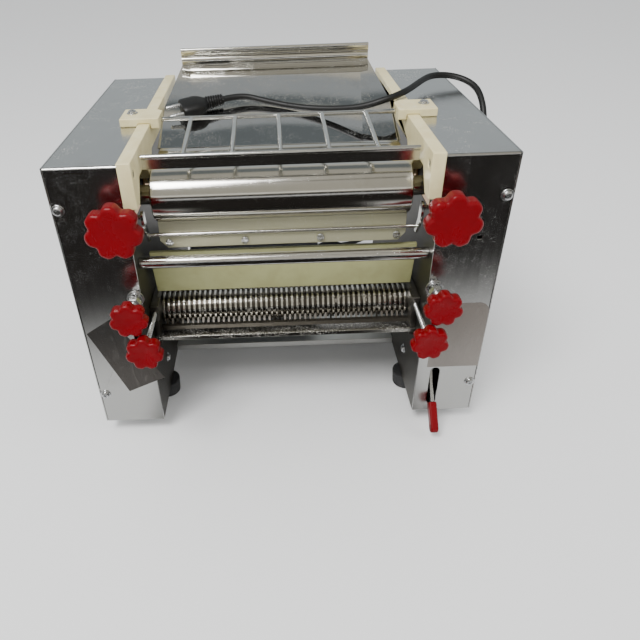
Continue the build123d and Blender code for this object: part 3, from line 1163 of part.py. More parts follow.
def build_right_train():
    outer = (TAKEOFF_X, TAKEOFF_X + TAKEOFF_W)
    inner = (SWING_GEAR_X, SWING_GEAR_X + SWING_GEAR_W)
    save("takeoff_gear", gear(TRAIN_MODULE, TAKEOFF_TEETH, JOURNAL_R + RUN_FIT, REAR_ROLLER, outer, 0.0))
    idler_phase = mesh_phase(0.0, TAKEOFF_TEETH, REAR_ROLLER, IDLER_TEETH, IDLER)
    idler = gear(TRAIN_MODULE, IDLER_TEETH, STUB_R + RUN_FIT, IDLER, outer, idler_phase)
    for turn in range(5):
        hole = from_point(IDLER, 38.0, turn * 72)
        idler -= rod_x(14.0, (outer[0] - 1, outer[1] + 1), hole)
    save("idler_gear", idler)
    swing_phase = mesh_phase(idler_phase, IDLER_TEETH, IDLER, SWING_TEETH, SWING)
    wide = (inner[0], outer[1])
    swing = gear(TRAIN_MODULE, SWING_TEETH, SWING_AXLE_R + RUN_FIT, SWING, wide, swing_phase)
    save("swing_gear", swing)
    input_phase = mesh_phase(swing_phase, SWING_TEETH, SWING, CUTTER_TEETH, FRONT_CUTTER)
    bore = CUTTER_JOURNAL_R + RUN_FIT
    save("cutter_input_gear", gear(TRAIN_MODULE, CUTTER_TEETH, bore, FRONT_CUTTER, inner, input_phase))
    save("clutch_lever", clutch_lever())
    save("lever_grip", lever_grip())


def build_electrics():
    save("switch_housing", switch_housing())
    save("switch_rocker", switch_rocker())
    save("cord_gland", cord_gland())
    save("cord_tail", cord_tube(CORD_TAIL, "cord_tail"))
    save("cord_lead", cord_tube(CORD_LEAD, "cord_lead"))
    save("cord_coil", cord_coil())
    save("power_plug", power_plug())


os.makedirs("parts", exist_ok=True)
build_frame()
build_press()
build_left_drive()
build_cutter()
build_right_train()
build_electrics()
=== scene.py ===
"""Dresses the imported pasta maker: finishes, moulded knobs, screws, cord, lights and camera.

Metres, in the part's own frame: +X to the operator's right, +Y to the back, +Z up.
"""
import json
import logging
import math
from dataclasses import dataclass
from enum import Enum
from typing import Callable, Dict, Iterable, List, Optional, Sequence, Tuple, Union

import bmesh
import bpy
from mathutils import Matrix, Vector

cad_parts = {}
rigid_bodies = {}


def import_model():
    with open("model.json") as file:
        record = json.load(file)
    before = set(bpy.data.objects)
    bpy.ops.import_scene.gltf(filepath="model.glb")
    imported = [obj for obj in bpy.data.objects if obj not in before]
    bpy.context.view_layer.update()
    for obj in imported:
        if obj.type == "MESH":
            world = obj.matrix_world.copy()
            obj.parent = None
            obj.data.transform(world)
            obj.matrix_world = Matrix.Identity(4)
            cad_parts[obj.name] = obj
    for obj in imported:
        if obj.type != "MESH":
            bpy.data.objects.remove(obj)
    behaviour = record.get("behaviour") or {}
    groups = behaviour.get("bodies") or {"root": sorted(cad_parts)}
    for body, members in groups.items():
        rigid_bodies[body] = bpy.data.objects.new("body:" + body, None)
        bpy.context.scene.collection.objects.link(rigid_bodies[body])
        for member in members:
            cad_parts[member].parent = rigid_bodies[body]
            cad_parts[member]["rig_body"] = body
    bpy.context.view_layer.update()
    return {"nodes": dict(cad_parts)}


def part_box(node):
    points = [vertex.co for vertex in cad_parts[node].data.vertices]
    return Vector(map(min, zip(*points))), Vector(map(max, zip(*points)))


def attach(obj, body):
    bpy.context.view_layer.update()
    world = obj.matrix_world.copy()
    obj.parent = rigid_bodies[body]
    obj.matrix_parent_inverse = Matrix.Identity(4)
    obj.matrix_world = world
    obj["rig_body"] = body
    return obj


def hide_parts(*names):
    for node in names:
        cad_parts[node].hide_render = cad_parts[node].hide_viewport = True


LOG = logging.getLogger("pasta_maker")

MM = 0.001
MERGE = 1e-6                      # vertices nearer than this are one
FLAT_ANGLE = 0.4                  # degrees; faces that differ by less are one flat
BEVEL_ANGLE = 35.0                # degrees; only sharper edges are bevelled

# Where the measuring frame has its origin: the middle, the boxes' front and their bottom edges.
ORIGIN_SHIFT = Vector((0.0, -141.85, 20.0))

Colour = Tuple[float, float, float]
Triple = Tuple[float, float, float]
Pair = Tuple[float, float]
Mesh = bpy.types.Mesh
Piece = bpy.types.Object
Face = Tuple[int, ...]
Shape = Tuple[List[Vector], List[Face]]
UP = Vector((0.0, 0.0, 1.0))
BACK = Vector((0.0, 1.0, 0.0))
RIGHT = Vector((1.0, 0.0, 0.0))


def placed(x: float, y: float, z: float) -> Vector:
    """A point of the measuring frame, in millimetres, as a point of the part in metres."""
    return (Vector((x, y, z)) + ORIGIN_SHIFT) * MM


def mm(x: float, y: float, z: float) -> Vector:
    """A point given in millimetres, in metres."""
    return Vector((x * MM, y * MM, z * MM))


def shown(name: str, data: bpy.types.ID) -> Piece:
    """A new object in the scene."""
    made = bpy.data.objects.new(name, data)
    bpy.context.scene.collection.objects.link(made)
    return made


def add_node(tree: bpy.types.NodeTree, kind: str, settings: Dict[str, object],
             inputs: Dict[object, object]) -> bpy.types.Node:
    """Adds a node: its properties first, then a value or a link for each socket that is named."""
    made = tree.nodes.new(kind)
    for key, value in settings.items():
        setattr(made, key, value)
    for key, value in inputs.items():
        if isinstance(value, bpy.types.NodeSocket):
            tree.links.new(value, made.inputs[key])
        elif value is not None:
            made.inputs[key].default_value = value
    return made


# ---------------------------------------------------------------- shader maths
def operator(name: str, swapped: bool = False) -> Callable[["Shade", "Value"], "Shade"]:
    """A method that adds a Math node for a Python operator."""
    def method(self: "Shade", other: "Value") -> "Shade":
        """The operation on two values."""
        first, second = (other, self) if swapped else (self, other)
        return self.graph.math(name, first, second)
    return method


@dataclass(frozen=True)
class Shade:
    """A node's output socket and its graph; Python's operators on it add Math nodes."""

    graph: "Graph"
    socket: Optional[bpy.types.NodeSocket]

    __add__ = __radd__ = operator("ADD")
    __mul__ = __rmul__ = operator("MULTIPLY")
    __sub__ = operator("SUBTRACT")
    __rsub__ = operator("SUBTRACT", swapped=True)
    __pow__ = operator("POWER")

    def between(self, low: float, high: float) -> "Shade":
        """0 below low, 1 above high, with a smooth step between them."""
        settings = {"interpolation_type": "SMOOTHSTEP", "clamp": True}
        return self.graph.node("ShaderNodeMapRange", settings, {0: self, 1: low, 2: high})


Value = Union[float, Shade]


class Graph:
    """A material and the nodes that draw its surface."""

    def __init__(self, name: str) -> None:
        """Starts an empty node tree under the material's name."""
        self.material = bpy.data.materials.new(name)
        self.material.use_nodes = True
        self.tree = self.material.node_tree
        self.tree.nodes.clear()

    def node(self, kind: str, settings: Dict[str, object], inputs: Dict[object, object],
             output: Union[int, str] = 0) -> Shade:
        """Adds a node.

        Args:
            kind: The node's type.
            settings: Its properties, which are set before its sockets.
            inputs: A value or a link for each socket that isn't left alone.
            output: The output socket that is given back.

        Returns:
            The output, ready for shader maths.
        """
        plain = {key: value.socket if isinstance(value, Shade) else value
                 for key, value in inputs.items()}
        made = add_node(self.tree, kind, settings, plain)
        return Shade(self, made.outputs[output] if len(made.outputs) else None)

    def math(self, operation: str, first: Value, second: Value) -> Shade:
        """A Math node on two values."""
        return self.node("ShaderNodeMath", {"operation": operation}, {0: first, 1: second})

    def where(self, stretch: Triple = (1, 1, 1), middle: Triple = (0, 0, 0)) -> Shade:
        """Object coordinates about a middle, scaled by a stretch for each axis."""
        start = self.node("ShaderNodeTexCoord", {}, {}, "Object")
        place = tuple(-m * s for m, s in zip(middle, stretch))
        return self.node("ShaderNodeMapping", {}, {0: start, 1: place, 3: stretch})

    def noise(self, scale: float, detail: float = 2.0, stretch: Triple = (1, 1, 1),
              roughness: float = 0.5, distortion: float = 0.0) -> Shade:
        """Noise on object coordinates, about 0 to 1.

        Args:
            scale: Features per metre.
            detail: Octaves.
            stretch: Share of the scale along each axis.
            roughness: How strong the finer octaves are.
            distortion: How far the pattern swirls.
        """
        inputs = {"Vector": self.where(stretch), "Scale": scale, "Detail": detail,
                  "Roughness": roughness, "Distortion": distortion}
        return self.node("ShaderNodeTexNoise", {}, inputs)

    def specks(self, scale: float, size: float) -> Shade:
        """Small round dots.

        Args:
            scale: Dots per metre.
            size: A dot's radius as a share of its cell.
        """
        inputs = {"Vector": self.where(), "Scale": scale}
        return 1.0 - self.node("ShaderNodeTexVoronoi", {}, inputs).between(size * 0.6, size)

    def facing_up(self, low: float = 0.6, high: float = 0.9) -> Shade:
        """1 on faces that look up in the piece's own frame."""
        return self.part(self.node("ShaderNodeTexCoord", {}, {}, "Normal"), 2).between(low, high)

    def part(self, vector: Shade, index: int) -> Shade:
        """One coordinate of a vector."""
        return self.node("ShaderNodeSeparateXYZ", {}, {0: vector}, index)

    def axis(self, index: int) -> Shade:
        """One object coordinate, in metres."""
        return self.part(self.where(), index)

    def ramp(self, share: Shade, stops: Sequence[Tuple[float, Colour]]) -> Shade:
        """A colour that runs through stops as share goes from 0 to 1."""
        made = self.node("ShaderNodeValToRGB", {}, {0: share})
        elements = made.socket.node.color_ramp.elements
        elements[0].color, elements[1].color = (*stops[0][1], 1.0), (*stops[-1][1], 1.0)
        for place, colour in stops[1:-1]:
            elements.new(place).color = (*colour, 1.0)
        return made

    def mix(self, share: Value, first: object, second: object) -> Shade:
        """A colour between two colours."""
        inputs = {0: share, 6: rgba(first), 7: rgba(second)}
        return self.node("ShaderNodeMix", {"data_type": "RGBA"}, inputs, 2)

    def bump(self, height: Shade, distance: float, under: Optional[Shade] = None) -> Shade:
        """A normal from a height between 0 and 1 that stands for a distance in metres."""
        return self.node("ShaderNodeBump", {}, {"Height": height, "Distance": distance,
                                                "Normal": under})

    def surface(self, **sockets: object) -> None:
        """Ends the tree in one Principled shader; underscores stand for spaces in socket names."""
        inputs = {key.replace("_", " "): rgba(value) if isinstance(value, tuple) else value
                  for key, value in sockets.items()}
        shader = self.node("ShaderNodeBsdfPrincipled", {}, inputs)
        self.node("ShaderNodeOutputMaterial", {}, {"Surface": shader})


def rgba(colour: object) -> object:
    """A colour with its alpha, or a link as it is."""
    return (*colour, 1.0) if isinstance(colour, tuple) and len(colour) == 3 else colour


# ---------------------------------------------------------------- finishes
class Grain(Enum):
    """The way that the marks of a finish run."""

    ALONG_X = (0.02, 1.0, 1.0)
    ALONG_Y = (1.0, 0.02, 1.0)
    UPRIGHT = (1.0, 1.0, 0.02)
    ROUND_X = (1.0, 0.02, 0.02)
    EVEN = (1.0, 1.0, 1.0)


FLOUR: Colour = (0.80, 0.77, 0.70)


@dataclass(frozen=True)
class Finish:
    """A surface finish and the name of one of the part's material slots."""

    name: str
    slot: str
    tint: Colour
    roughness: float

    def draw(self, graph: Graph) -> None:
        """Adds the finish's nodes to an empty graph."""
        raise NotImplementedError

    def material(self) -> bpy.types.Material:
        """The finish's material, made once."""
        made = bpy.data.materials.get(self.name)
        if made is None:
            graph = Graph(self.name)
            self.draw(graph)
            made = graph.material
        return made


@dataclass(frozen=True)
class Steel(Finish):
    """Bare steel with grinding marks, finger smudges, stains and flour, and where asked a painted
    olive reflection.
    """

    grain: Grain = Grain.EVEN
    marks: float = 0.05
    smudge: float = 0.12
    flour: float = 0.0
    stain: Colour = (0.30, 0.26, 0.21)
    stained: float = 0.15
    # share of a painted reflection, a blotchy olive film that stands for what the steel mirrors;
    # then its colour
    painted_reflection: float = 0.0
    reflection_tint: Colour = (0.33, 0.315, 0.15)

    def draw(self, graph: Graph) -> None:
        """Fine and coarse marks along the grain, smudges in the gloss, a painted reflection where
        asked, then flour on top.
        """
        fine = graph.noise(2600.0, 3.0, self.grain.value)
        coarse = graph.noise(420.0, 3.0, self.grain.value)
        smudges = graph.noise(17.0, 5.0, roughness=0.62, distortion=0.7)
        powder = graph.noise(55.0, 5.0, roughness=0.7)
        dots = graph.math("MAXIMUM", graph.specks(330.0, 0.26), graph.specks(760.0, 0.30))
        stains = smudges.between(0.52, 0.74) * self.stained
        colour = graph.mix(stains, self.tint, self.stain)
        colour = graph.mix(coarse * self.marks, colour, (0.92, 0.92, 0.93))
        drift = graph.noise(13.0, 4.0, roughness=0.6)
        floured = (dots * powder.between(0.44, 0.60) * drift.between(0.36, 0.56)
                   + 0.35 * powder.between(0.56, 0.74) * drift.between(0.50, 0.70)) * self.flour
        floured = floured * (0.2 + 0.8 * graph.facing_up(-0.2, 0.7))
        rough = (self.roughness + self.smudge * (smudges - 0.42) + 1.2 * self.marks * (coarse - 0.5)
                 + 0.45 * floured)
        relief = graph.bump(fine * 0.5 + coarse * 0.5, 0.00004 * self.marks * 20)
        relief = graph.bump(floured, 0.0003, relief)
        # Painted reflection: a blotchy olive film, with less metal under it, stands for what the
        # steel mirrors.
        film = self.painted_reflection * (0.55 + 0.9 * (smudges - 0.3))
        colour = graph.mix(film, colour, self.reflection_tint)
        graph.surface(Base_Color=graph.mix(floured, colour, FLOUR), Roughness=rough, Normal=relief,
                      Metallic=1.0 - graph.math("MAXIMUM", floured, film))


@dataclass(frozen=True)
class GroovedSteel(Finish):
    """A cutter roller's steel: bright lands, and grooves that hold shade and flour."""

    core: float = 0.0168
    top: float = 0.0184

    def draw(self, graph: Graph) -> None:
        """The groove mask comes from the height over the nearest roller's axis."""
        y, z = graph.axis(1), graph.axis(2)
        reach = [((y - axis) ** 2.0 + (z - CUTTER_HEIGHT) ** 2.0) ** 0.5 for axis in CUTTER_AXES]
        depth = graph.math("MINIMUM", reach[0], reach[1])
        land = depth.between(self.core, self.top)
        rings = graph.noise(3000.0, 2.0, Grain.ROUND_X.value)
        wear = graph.noise(60.0, 4.0, roughness=0.6)
        flour = graph.noise(90.0, 4.0, roughness=0.65).between(0.58, 0.74)
        floured = flour * (1.0 - land) * 0.45
        colour = graph.mix(land, (0.10, 0.09, 0.075), self.tint)
        colour = graph.mix(wear.between(0.5, 0.75) * 0.20, colour, (0.42, 0.38, 0.31))
        graph.surface(Base_Color=graph.mix(floured, colour, FLOUR), Metallic=1.0 - floured,
                      Roughness=self.roughness + 0.16 * (wear - 0.4) + 0.4 * floured,
                      Normal=graph.bump(rings, 0.00003))


@dataclass(frozen=True)
class Plastic(Finish):
    """Moulded plastic with flow marks, pores, scuffs and a little flour."""

    shadow: Colour = (0.0, 0.0, 0.0)
    pores: float = 0.00004
    mottle: float = 0.35
    scuff: float = 0.25
    flour: float = 0.0
    gleam: float = 0.5

    def draw(self, graph: Graph) -> None:
        """Cloudy tint, fine pores, dull scuffs and dust on what looks up."""
        cloud = graph.noise(38.0, 4.0, roughness=0.55, distortion=0.4)
        pore = graph.noise(1900.0, 2.0)
        scratch = graph.noise(300.0, 3.0, (1.0, 0.12, 0.35), distortion=0.5).between(0.60, 0.72)
        dust = graph.noise(170.0, 5.0, roughness=0.7).between(0.56, 0.68)
        dust = dust * graph.facing_up() * self.flour
        colour = graph.mix(cloud.between(0.35, 0.70) * self.mottle, self.tint, self.shadow)
        colour = graph.mix(dust, colour, FLOUR)
        rough = self.roughness + self.scuff * scratch + 0.10 * (cloud - 0.5) + 0.3 * dust
        relief = graph.bump(pore, self.pores, graph.bump(1.0 - scratch, 0.00012 * self.scuff))
        graph.surface(Base_Color=colour, Metallic=0.0, Roughness=rough, Normal=relief,
                      Specular_IOR_Level=self.gleam)


@dataclass(frozen=True)
class Rubber(Finish):
    """Dull rubber with a fine grain and grey scuffs where it rubs."""

    def draw(self, graph: Graph) -> None:
        """Grain in the relief and dust in the colour."""
        grain = graph.noise(1500.0, 4.0, roughness=0.7)
        dust = graph.noise(90.0, 5.0, roughness=0.65).between(0.5, 0.75)
        graph.surface(Base_Color=graph.mix(dust * 0.35, self.tint, (0.16, 0.15, 0.14)),
                      Metallic=0.0, Roughness=self.roughness + 0.15 * dust,
                      Normal=graph.bump(grain, 0.00008))


@dataclass(frozen=True)
class Film(Finish):
    """A leftover of the protective film: thin smoky plastic with creases and bubbles."""

    pale: Colour = (0.3, 0.3, 0.3)
    low: float = 0.0
    high: float = 1.0

    def draw(self, graph: Graph) -> None:
        """The tint fades over the film's height; creases and bubbles are relief."""
        fade = graph.axis(2).between(self.low, self.high)
        crease = graph.noise(75.0, 3.0, (1.0, 1.0, 0.35), distortion=1.6)
        bubbles = graph.noise(420.0, 2.0).between(0.62, 0.70)
        colour = graph.mix(fade, self.pale, self.tint)
        colour = graph.mix(crease.between(0.55, 0.8) * 0.10, colour, (0.33, 0.31, 0.29))
        relief = graph.bump(crease, 0.0009, graph.bump(bubbles, 0.0002))
        graph.surface(Base_Color=colour, Metallic=0.0, Roughness=self.roughness + 0.2 * crease,
                      Normal=relief)


# Steel: name, slot, tint, roughness, grain, marks, smudge, flour.
# Plastic: name, slot, tint, roughness, shadow. Film: the same with pale, then low and high.
BOX_SHEET = Steel("box_sheet_steel", "box_sheet", (0.60, 0.60, 0.59), 0.17, Grain.UPRIGHT, 0.08,
                  0.12, 0.45)
BOARD_SHEET = Steel("feed_board_steel", "box_sheet", (0.62, 0.62, 0.615), 0.02, Grain.ALONG_Y,
                    0.008, 0.02, 0.16)
HEM_SHEET = Steel("hem_steel", "box_sheet", (0.80, 0.78, 0.72), 0.08, Grain.ALONG_X, 0.02, 0.06,
                  0.10)
# The frame plates' near-black tint is painted shade, for the shaded inside of the machine.
SHADE_DARK_PLATE = Steel("ground_plate_steel", "plate_steel", (0.075, 0.071, 0.062), 0.46, Grain.UPRIGHT, 0.03,
              0.12, 0.05)
CUTTER_PLATE = Steel("cutter_plate_steel", "plate_steel", (0.16, 0.15, 0.135), 0.38, Grain.EVEN,
                     0.06, 0.18, 0.20)
COMB = Steel("comb_steel", "plate_steel", (0.11, 0.10, 0.085), 0.42, Grain.EVEN, 0.05, 0.16, 0.10)
ROLLER = Steel("polished_roller_steel", "polished_steel", (0.66, 0.645, 0.60), 0.13, Grain.ROUND_X,
               0.06, 0.08, 0.05)
TIE_ROD = Steel("polished_rod_steel", "polished_steel", (0.70, 0.69, 0.66), 0.12, Grain.ROUND_X,
                0.08, 0.12, 0.15)
TRAY = Steel("floured_tray_steel", "box_sheet", (0.42, 0.41, 0.38), 0.22, Grain.ALONG_X, 0.06, 0.20,
             2.2)
WIRE = Steel("guard_wire_steel", "guard_steel", (0.70, 0.70, 0.68), 0.16, Grain.EVEN, 0.03, 0.10,
             0.0)
ZINC = Steel("bright_zinc", "zinc", (0.64, 0.65, 0.66), 0.26, Grain.EVEN, 0.10, 0.16, 0.10)
# The scraper's olive film is a painted reflection of the olive guide board.
BLADE = Steel("scraper_steel", "zinc", (0.56, 0.54, 0.43), 0.36, Grain.ALONG_X, 0.10, 0.18, 0.35,
              painted_reflection=0.75)
GEAR = Steel("cut_gear_steel", "gear_steel", (0.42, 0.41, 0.39), 0.33, Grain.ROUND_X, 0.20, 0.15,
             stain=(0.10, 0.07, 0.04), stained=0.55)
BRONZE = Steel("bush_bronze", "bronze", (0.62, 0.38, 0.16), 0.30, Grain.ROUND_X, 0.12, 0.15,
               stain=(0.20, 0.11, 0.05), stained=0.35)
BASE = Steel("base_sheet_steel", "plate_steel", (0.56, 0.56, 0.54), 0.33, Grain.ALONG_X, 0.12, 0.18,
             0.40)
CUTTER = GroovedSteel("grooved_cutter_steel", "cutter_steel", (0.74, 0.72, 0.66), 0.18)
CREAM = Plastic("cheek_nylon", "cream_nylon", (0.76, 0.68, 0.39), 0.42, (0.60, 0.50, 0.24),
                pores=0.00006, mottle=0.5, scuff=0.2, flour=0.5)
GUIDE = Plastic("olive_nylon", "guide_nylon", (0.375, 0.375, 0.175), 0.38, (0.28, 0.265, 0.11),
                pores=0.00005, mottle=0.5, scuff=0.25, flour=0.3)
RED = Plastic("red_knob_plastic", "red_plastic", (0.165, 0.0, 0.0034), 0.28, (0.125, 0.0, 0.0022),
              pores=0.00002, mottle=0.45, scuff=0.05, flour=0.02, gleam=0.22)
BLACK = Plastic("black_moulding", "black_plastic", (0.0045, 0.0045, 0.005), 0.46,
                (0.002, 0.002, 0.002), pores=0.00006, mottle=0.5, scuff=0.2)
CORD_BLACK = Plastic("cord_sheath", "cord_black", (0.0045, 0.005, 0.0055), 0.48,
                     (0.0025, 0.0025, 0.0025), pores=0.00005, mottle=0.5, scuff=0.15)
ENAMEL = Plastic("motor_enamel", "motor_grey", (0.12, 0.13, 0.14), 0.45, (0.06, 0.06, 0.07),
                 pores=0.00018, mottle=0.5, scuff=0.25)
FOOT_RUBBER = Rubber("foot_rubber", "black_rubber", (0.020, 0.020, 0.021), 0.72)
BELT_RUBBER = Rubber("belt_compound", "belt_rubber", (0.028, 0.027, 0.026), 0.62)
DARK_FILM = Film("dark_film", "black_plastic", (0.014, 0.012, 0.010), 0.36, (0.040, 0.034, 0.029),
                 0.080, 0.165)
PALE_FILM = Film("pale_film", "black_plastic", (0.130, 0.113, 0.098), 0.30, (0.20, 0.18, 0.16),
                 0.090, 0.175)

CUTTER_HEIGHT = placed(0.0, 68.0, 118.0).z
CUTTER_AXES = (placed(0.0, 68.0, 118.0).y, placed(0.0, 104.0, 118.0).y)


# ---------------------------------------------------------------- meshes
def linked(name: str, mesh: Mesh, finish: Finish, smooth: float = 35.0) -> Piece:
    """An object for a mesh, smooth except at edges sharper than an angle in degrees."""
    mesh.materials.clear()
    mesh.materials.append(finish.material())
    mesh.shade_smooth()
    mesh.set_sharp_from_angle(angle=math.radians(smooth))
    return shown(name, mesh)


def mesh_from(name: str, verts: Iterable[Sequence[float]], faces: Iterable[Sequence[int]],
              fill: bool = False) -> Mesh:
    """A mesh with its doubles merged, its holes filled if asked, and its faces outwards."""
    mesh = bpy.data.meshes.new(name)
    mesh.from_pydata([tuple(v) for v in verts], [], [tuple(f) for f in faces])
    work = bmesh.new()
    work.from_mesh(mesh)
    bmesh.ops.remove_doubles(work, verts=work.verts, dist=MERGE)
    if fill:
        bmesh.ops.holes_fill(work, edges=work.edges)
    bmesh.ops.recalc_face_normals(work, faces=work.faces)
    work.to_mesh(mesh)
    work.free()
    return mesh


def moulded(name: str, shape: Shape, finish: Finish, smooth: float = 35.0) -> Piece:
    """An object from vertices and faces, with its finish."""
    return linked(name, mesh_from(name, *shape), finish, smooth)


def settled(thing: Piece) -> Mesh:
    """The object's mesh with its modifiers applied; the object is removed."""
    graph = bpy.context.evaluated_depsgraph_get()
    mesh = bpy.data.meshes.new_from_object(thing.evaluated_get(graph))
    name = thing.name
    bpy.data.objects.remove(thing)
    mesh.name = name
    return mesh


def rounded(mesh: Mesh, finish: Finish, bevel: float, segments: int, smooth: float) -> Mesh:
    """A closed mesh with a bevel in millimetres, if any, and normals that keep its flats flat."""
    work = linked(mesh.name, mesh, finish, smooth)
    if bevel:
        edge = work.modifiers.new("edge", "BEVEL")
        edge.width = bevel * MM
        edge.segments = segments
        edge.limit_method = "ANGLE"
        edge.angle_limit = math.radians(BEVEL_ANGLE)
        edge.use_clamp_overlap = False
        edge.miter_outer = "MITER_ARC"
    flats = work.modifiers.new("flats", "WEIGHTED_NORMAL")
    flats.keep_sharp = True
    return settled(work)


def ring_stack(rings: Sequence[Sequence[Vector]]) -> Shape:
    """Closed rings with equal counts, joined one after the other, with a cap at each end."""
    count = len(rings[0])
    verts = [point for ring in rings for point in ring]
    faces: List[Face] = [tuple(range(count))]
    for level in range(len(rings) - 1):
        for step in range(count):
            after = (step + 1) % count
            faces.append((level * count + step, level * count + after,
                          (level + 1) * count + after, (level + 1) * count + step))
    faces.append(tuple((len(rings) - 1) * count + step for step in range(count)))
    return verts, faces


def full_turn(sides: int) -> List[float]:
    """Evenly spaced angles round a circle."""
    return [2 * math.pi * step / sides for step in range(sides)]


def quarter_turn(steps: int) -> List[float]:
    """Evenly spaced angles up to a right angle, without the first."""
    return [math.pi / 2 * step / steps for step in range(1, steps + 1)]


def circle(radius: float, height: float, sides: int) -> List[Vector]:
    """A level ring of points about Z."""
    return [Vector((radius * math.cos(a), radius * math.sin(a), height)) for a in full_turn(sides)]


def turned(profile: Sequence[Pair], sides: int, place: Matrix = Matrix()) -> Shape:
    """A shape turned about Z from (radius, height) pairs in millimetres, capped and then placed."""
    return ring_stack([[place @ point for point in circle(radius * MM, height * MM, sides)]
                       for radius, height in profile])


def frame_of(origin: Vector, z_axis: Vector, x_axis: Vector) -> Matrix:
    """A placing matrix from an origin and two directions."""
    z = z_axis.normalized()
    x = (x_axis - z * x_axis.dot(z)).normalized()
    y = z.cross(x)
    return Matrix.Translation(origin) @ Matrix((x, y, z)).transposed().to_4x4()


@dataclass(frozen=True)
class Place:
    """Where one instance goes: its seat, where it looks, where its X points, and its scale."""

    at: Vector
    aim: Vector
    side: Vector = RIGHT
    scale: float = 1.0


def instance_tree() -> bpy.types.NodeTree:
    """The Geometry Nodes tree that sets a shape on every point, turned as the point says."""
    tree = bpy.data.node_groups.get("set_on_points")
    if tree:
        return tree
    tree = bpy.data.node_groups.new("set_on_points", "GeometryNodeTree")
    for name, kind in (("Geometry", "NodeSocketGeometry"), ("Shape", "NodeSocketObject"),
                       ("Finish", "NodeSocketMaterial")):
        tree.interface.new_socket(name=name, in_out="INPUT", socket_type=kind)
    tree.interface.new_socket(name="Geometry", in_out="OUTPUT", socket_type="NodeSocketGeometry")

    def node(kind: str, settings: Dict[str, object], links: Dict[object, object]) -> bpy.types.Node:
        """Adds a node to this tree."""
        return add_node(tree, kind, settings, links)

    entry = node("NodeGroupInput", {}, {})
    aim, side, scale = (
        node("GeometryNodeInputNamedAttribute", {"data_type": kind}, {"Name": name}).outputs[0]
        for name, kind in (("aim", "FLOAT_VECTOR"), ("side", "FLOAT_VECTOR"), ("scale", "FLOAT")))
    shape = node("GeometryNodeObjectInfo", {"transform_space": "ORIGINAL"},
                 {"Object": entry.outputs["Shape"]})
    stood = node("FunctionNodeAlignRotationToVector", {"axis": "Z"}, {"Vector": aim})
    turn = node("FunctionNodeAlignRotationToVector", {"axis": "X", "pivot_axis": "Z"},
                {"Rotation": stood.outputs[0], "Vector": side})
    spread = node("GeometryNodeInstanceOnPoints", {},
                  {"Points": entry.outputs["Geometry"], "Instance": shape.outputs["Geometry"],
                   "Rotation": turn.outputs[0], "Scale": scale})
    real = node("GeometryNodeRealizeInstances", {}, {"Geometry": spread.outputs[0]})
    painted = node("GeometryNodeSetMaterial", {},
                   {"Geometry": real.outputs[0], "Material": entry.outputs["Finish"]})
    node("NodeGroupOutput", {}, {0: painted.outputs[0]})
    return tree


def repeated(name: str, shape: Mesh, places: Sequence[Place], finish: Finish,
             smooth: float = 35.0) -> Piece:
    """One piece that repeats a shape at several places.

    Args:
        name: The piece's name.
        shape: The shape, seated at the origin and looking along +Z.
        places: Where each copy goes.
        finish: The finish of all copies.
        smooth: Edges sharper than this angle, in degrees, stay sharp.

    Returns:
        The piece, as a plain mesh.
    """
    tree = instance_tree()
    model = shown(name + "_model", shape)
    points = bpy.data.meshes.new(name + "_points")
    points.from_pydata([tuple(p.at) for p in places], [], [])
    for label, values in (("aim", [p.aim for p in places]), ("side", [p.side for p in places])):
        layer = points.attributes.new(label, "FLOAT_VECTOR", "POINT")
        layer.data.foreach_set("vector", [c for value in values for c in value])
    scales = points.attributes.new("scale", "FLOAT", "POINT")
    scales.data.foreach_set("value", [p.scale for p in places])
    holder = shown(name + "_set", points)
    spread = holder.modifiers.new("spread", "NODES")
    spread.node_group = tree
    inputs = {item.name: item.identifier for item in tree.interface.items_tree
              if item.in_out == "INPUT"}
    spread[inputs["Shape"]] = model
    spread[inputs["Finish"]] = finish.material()
    mesh = settled(holder)
    bpy.data.objects.remove(model)
    for attribute in ("aim", "side", "scale"):
        if attribute in mesh.attributes:
            mesh.attributes.remove(mesh.attributes[attribute])
    return linked(name, mesh, finish, smooth)


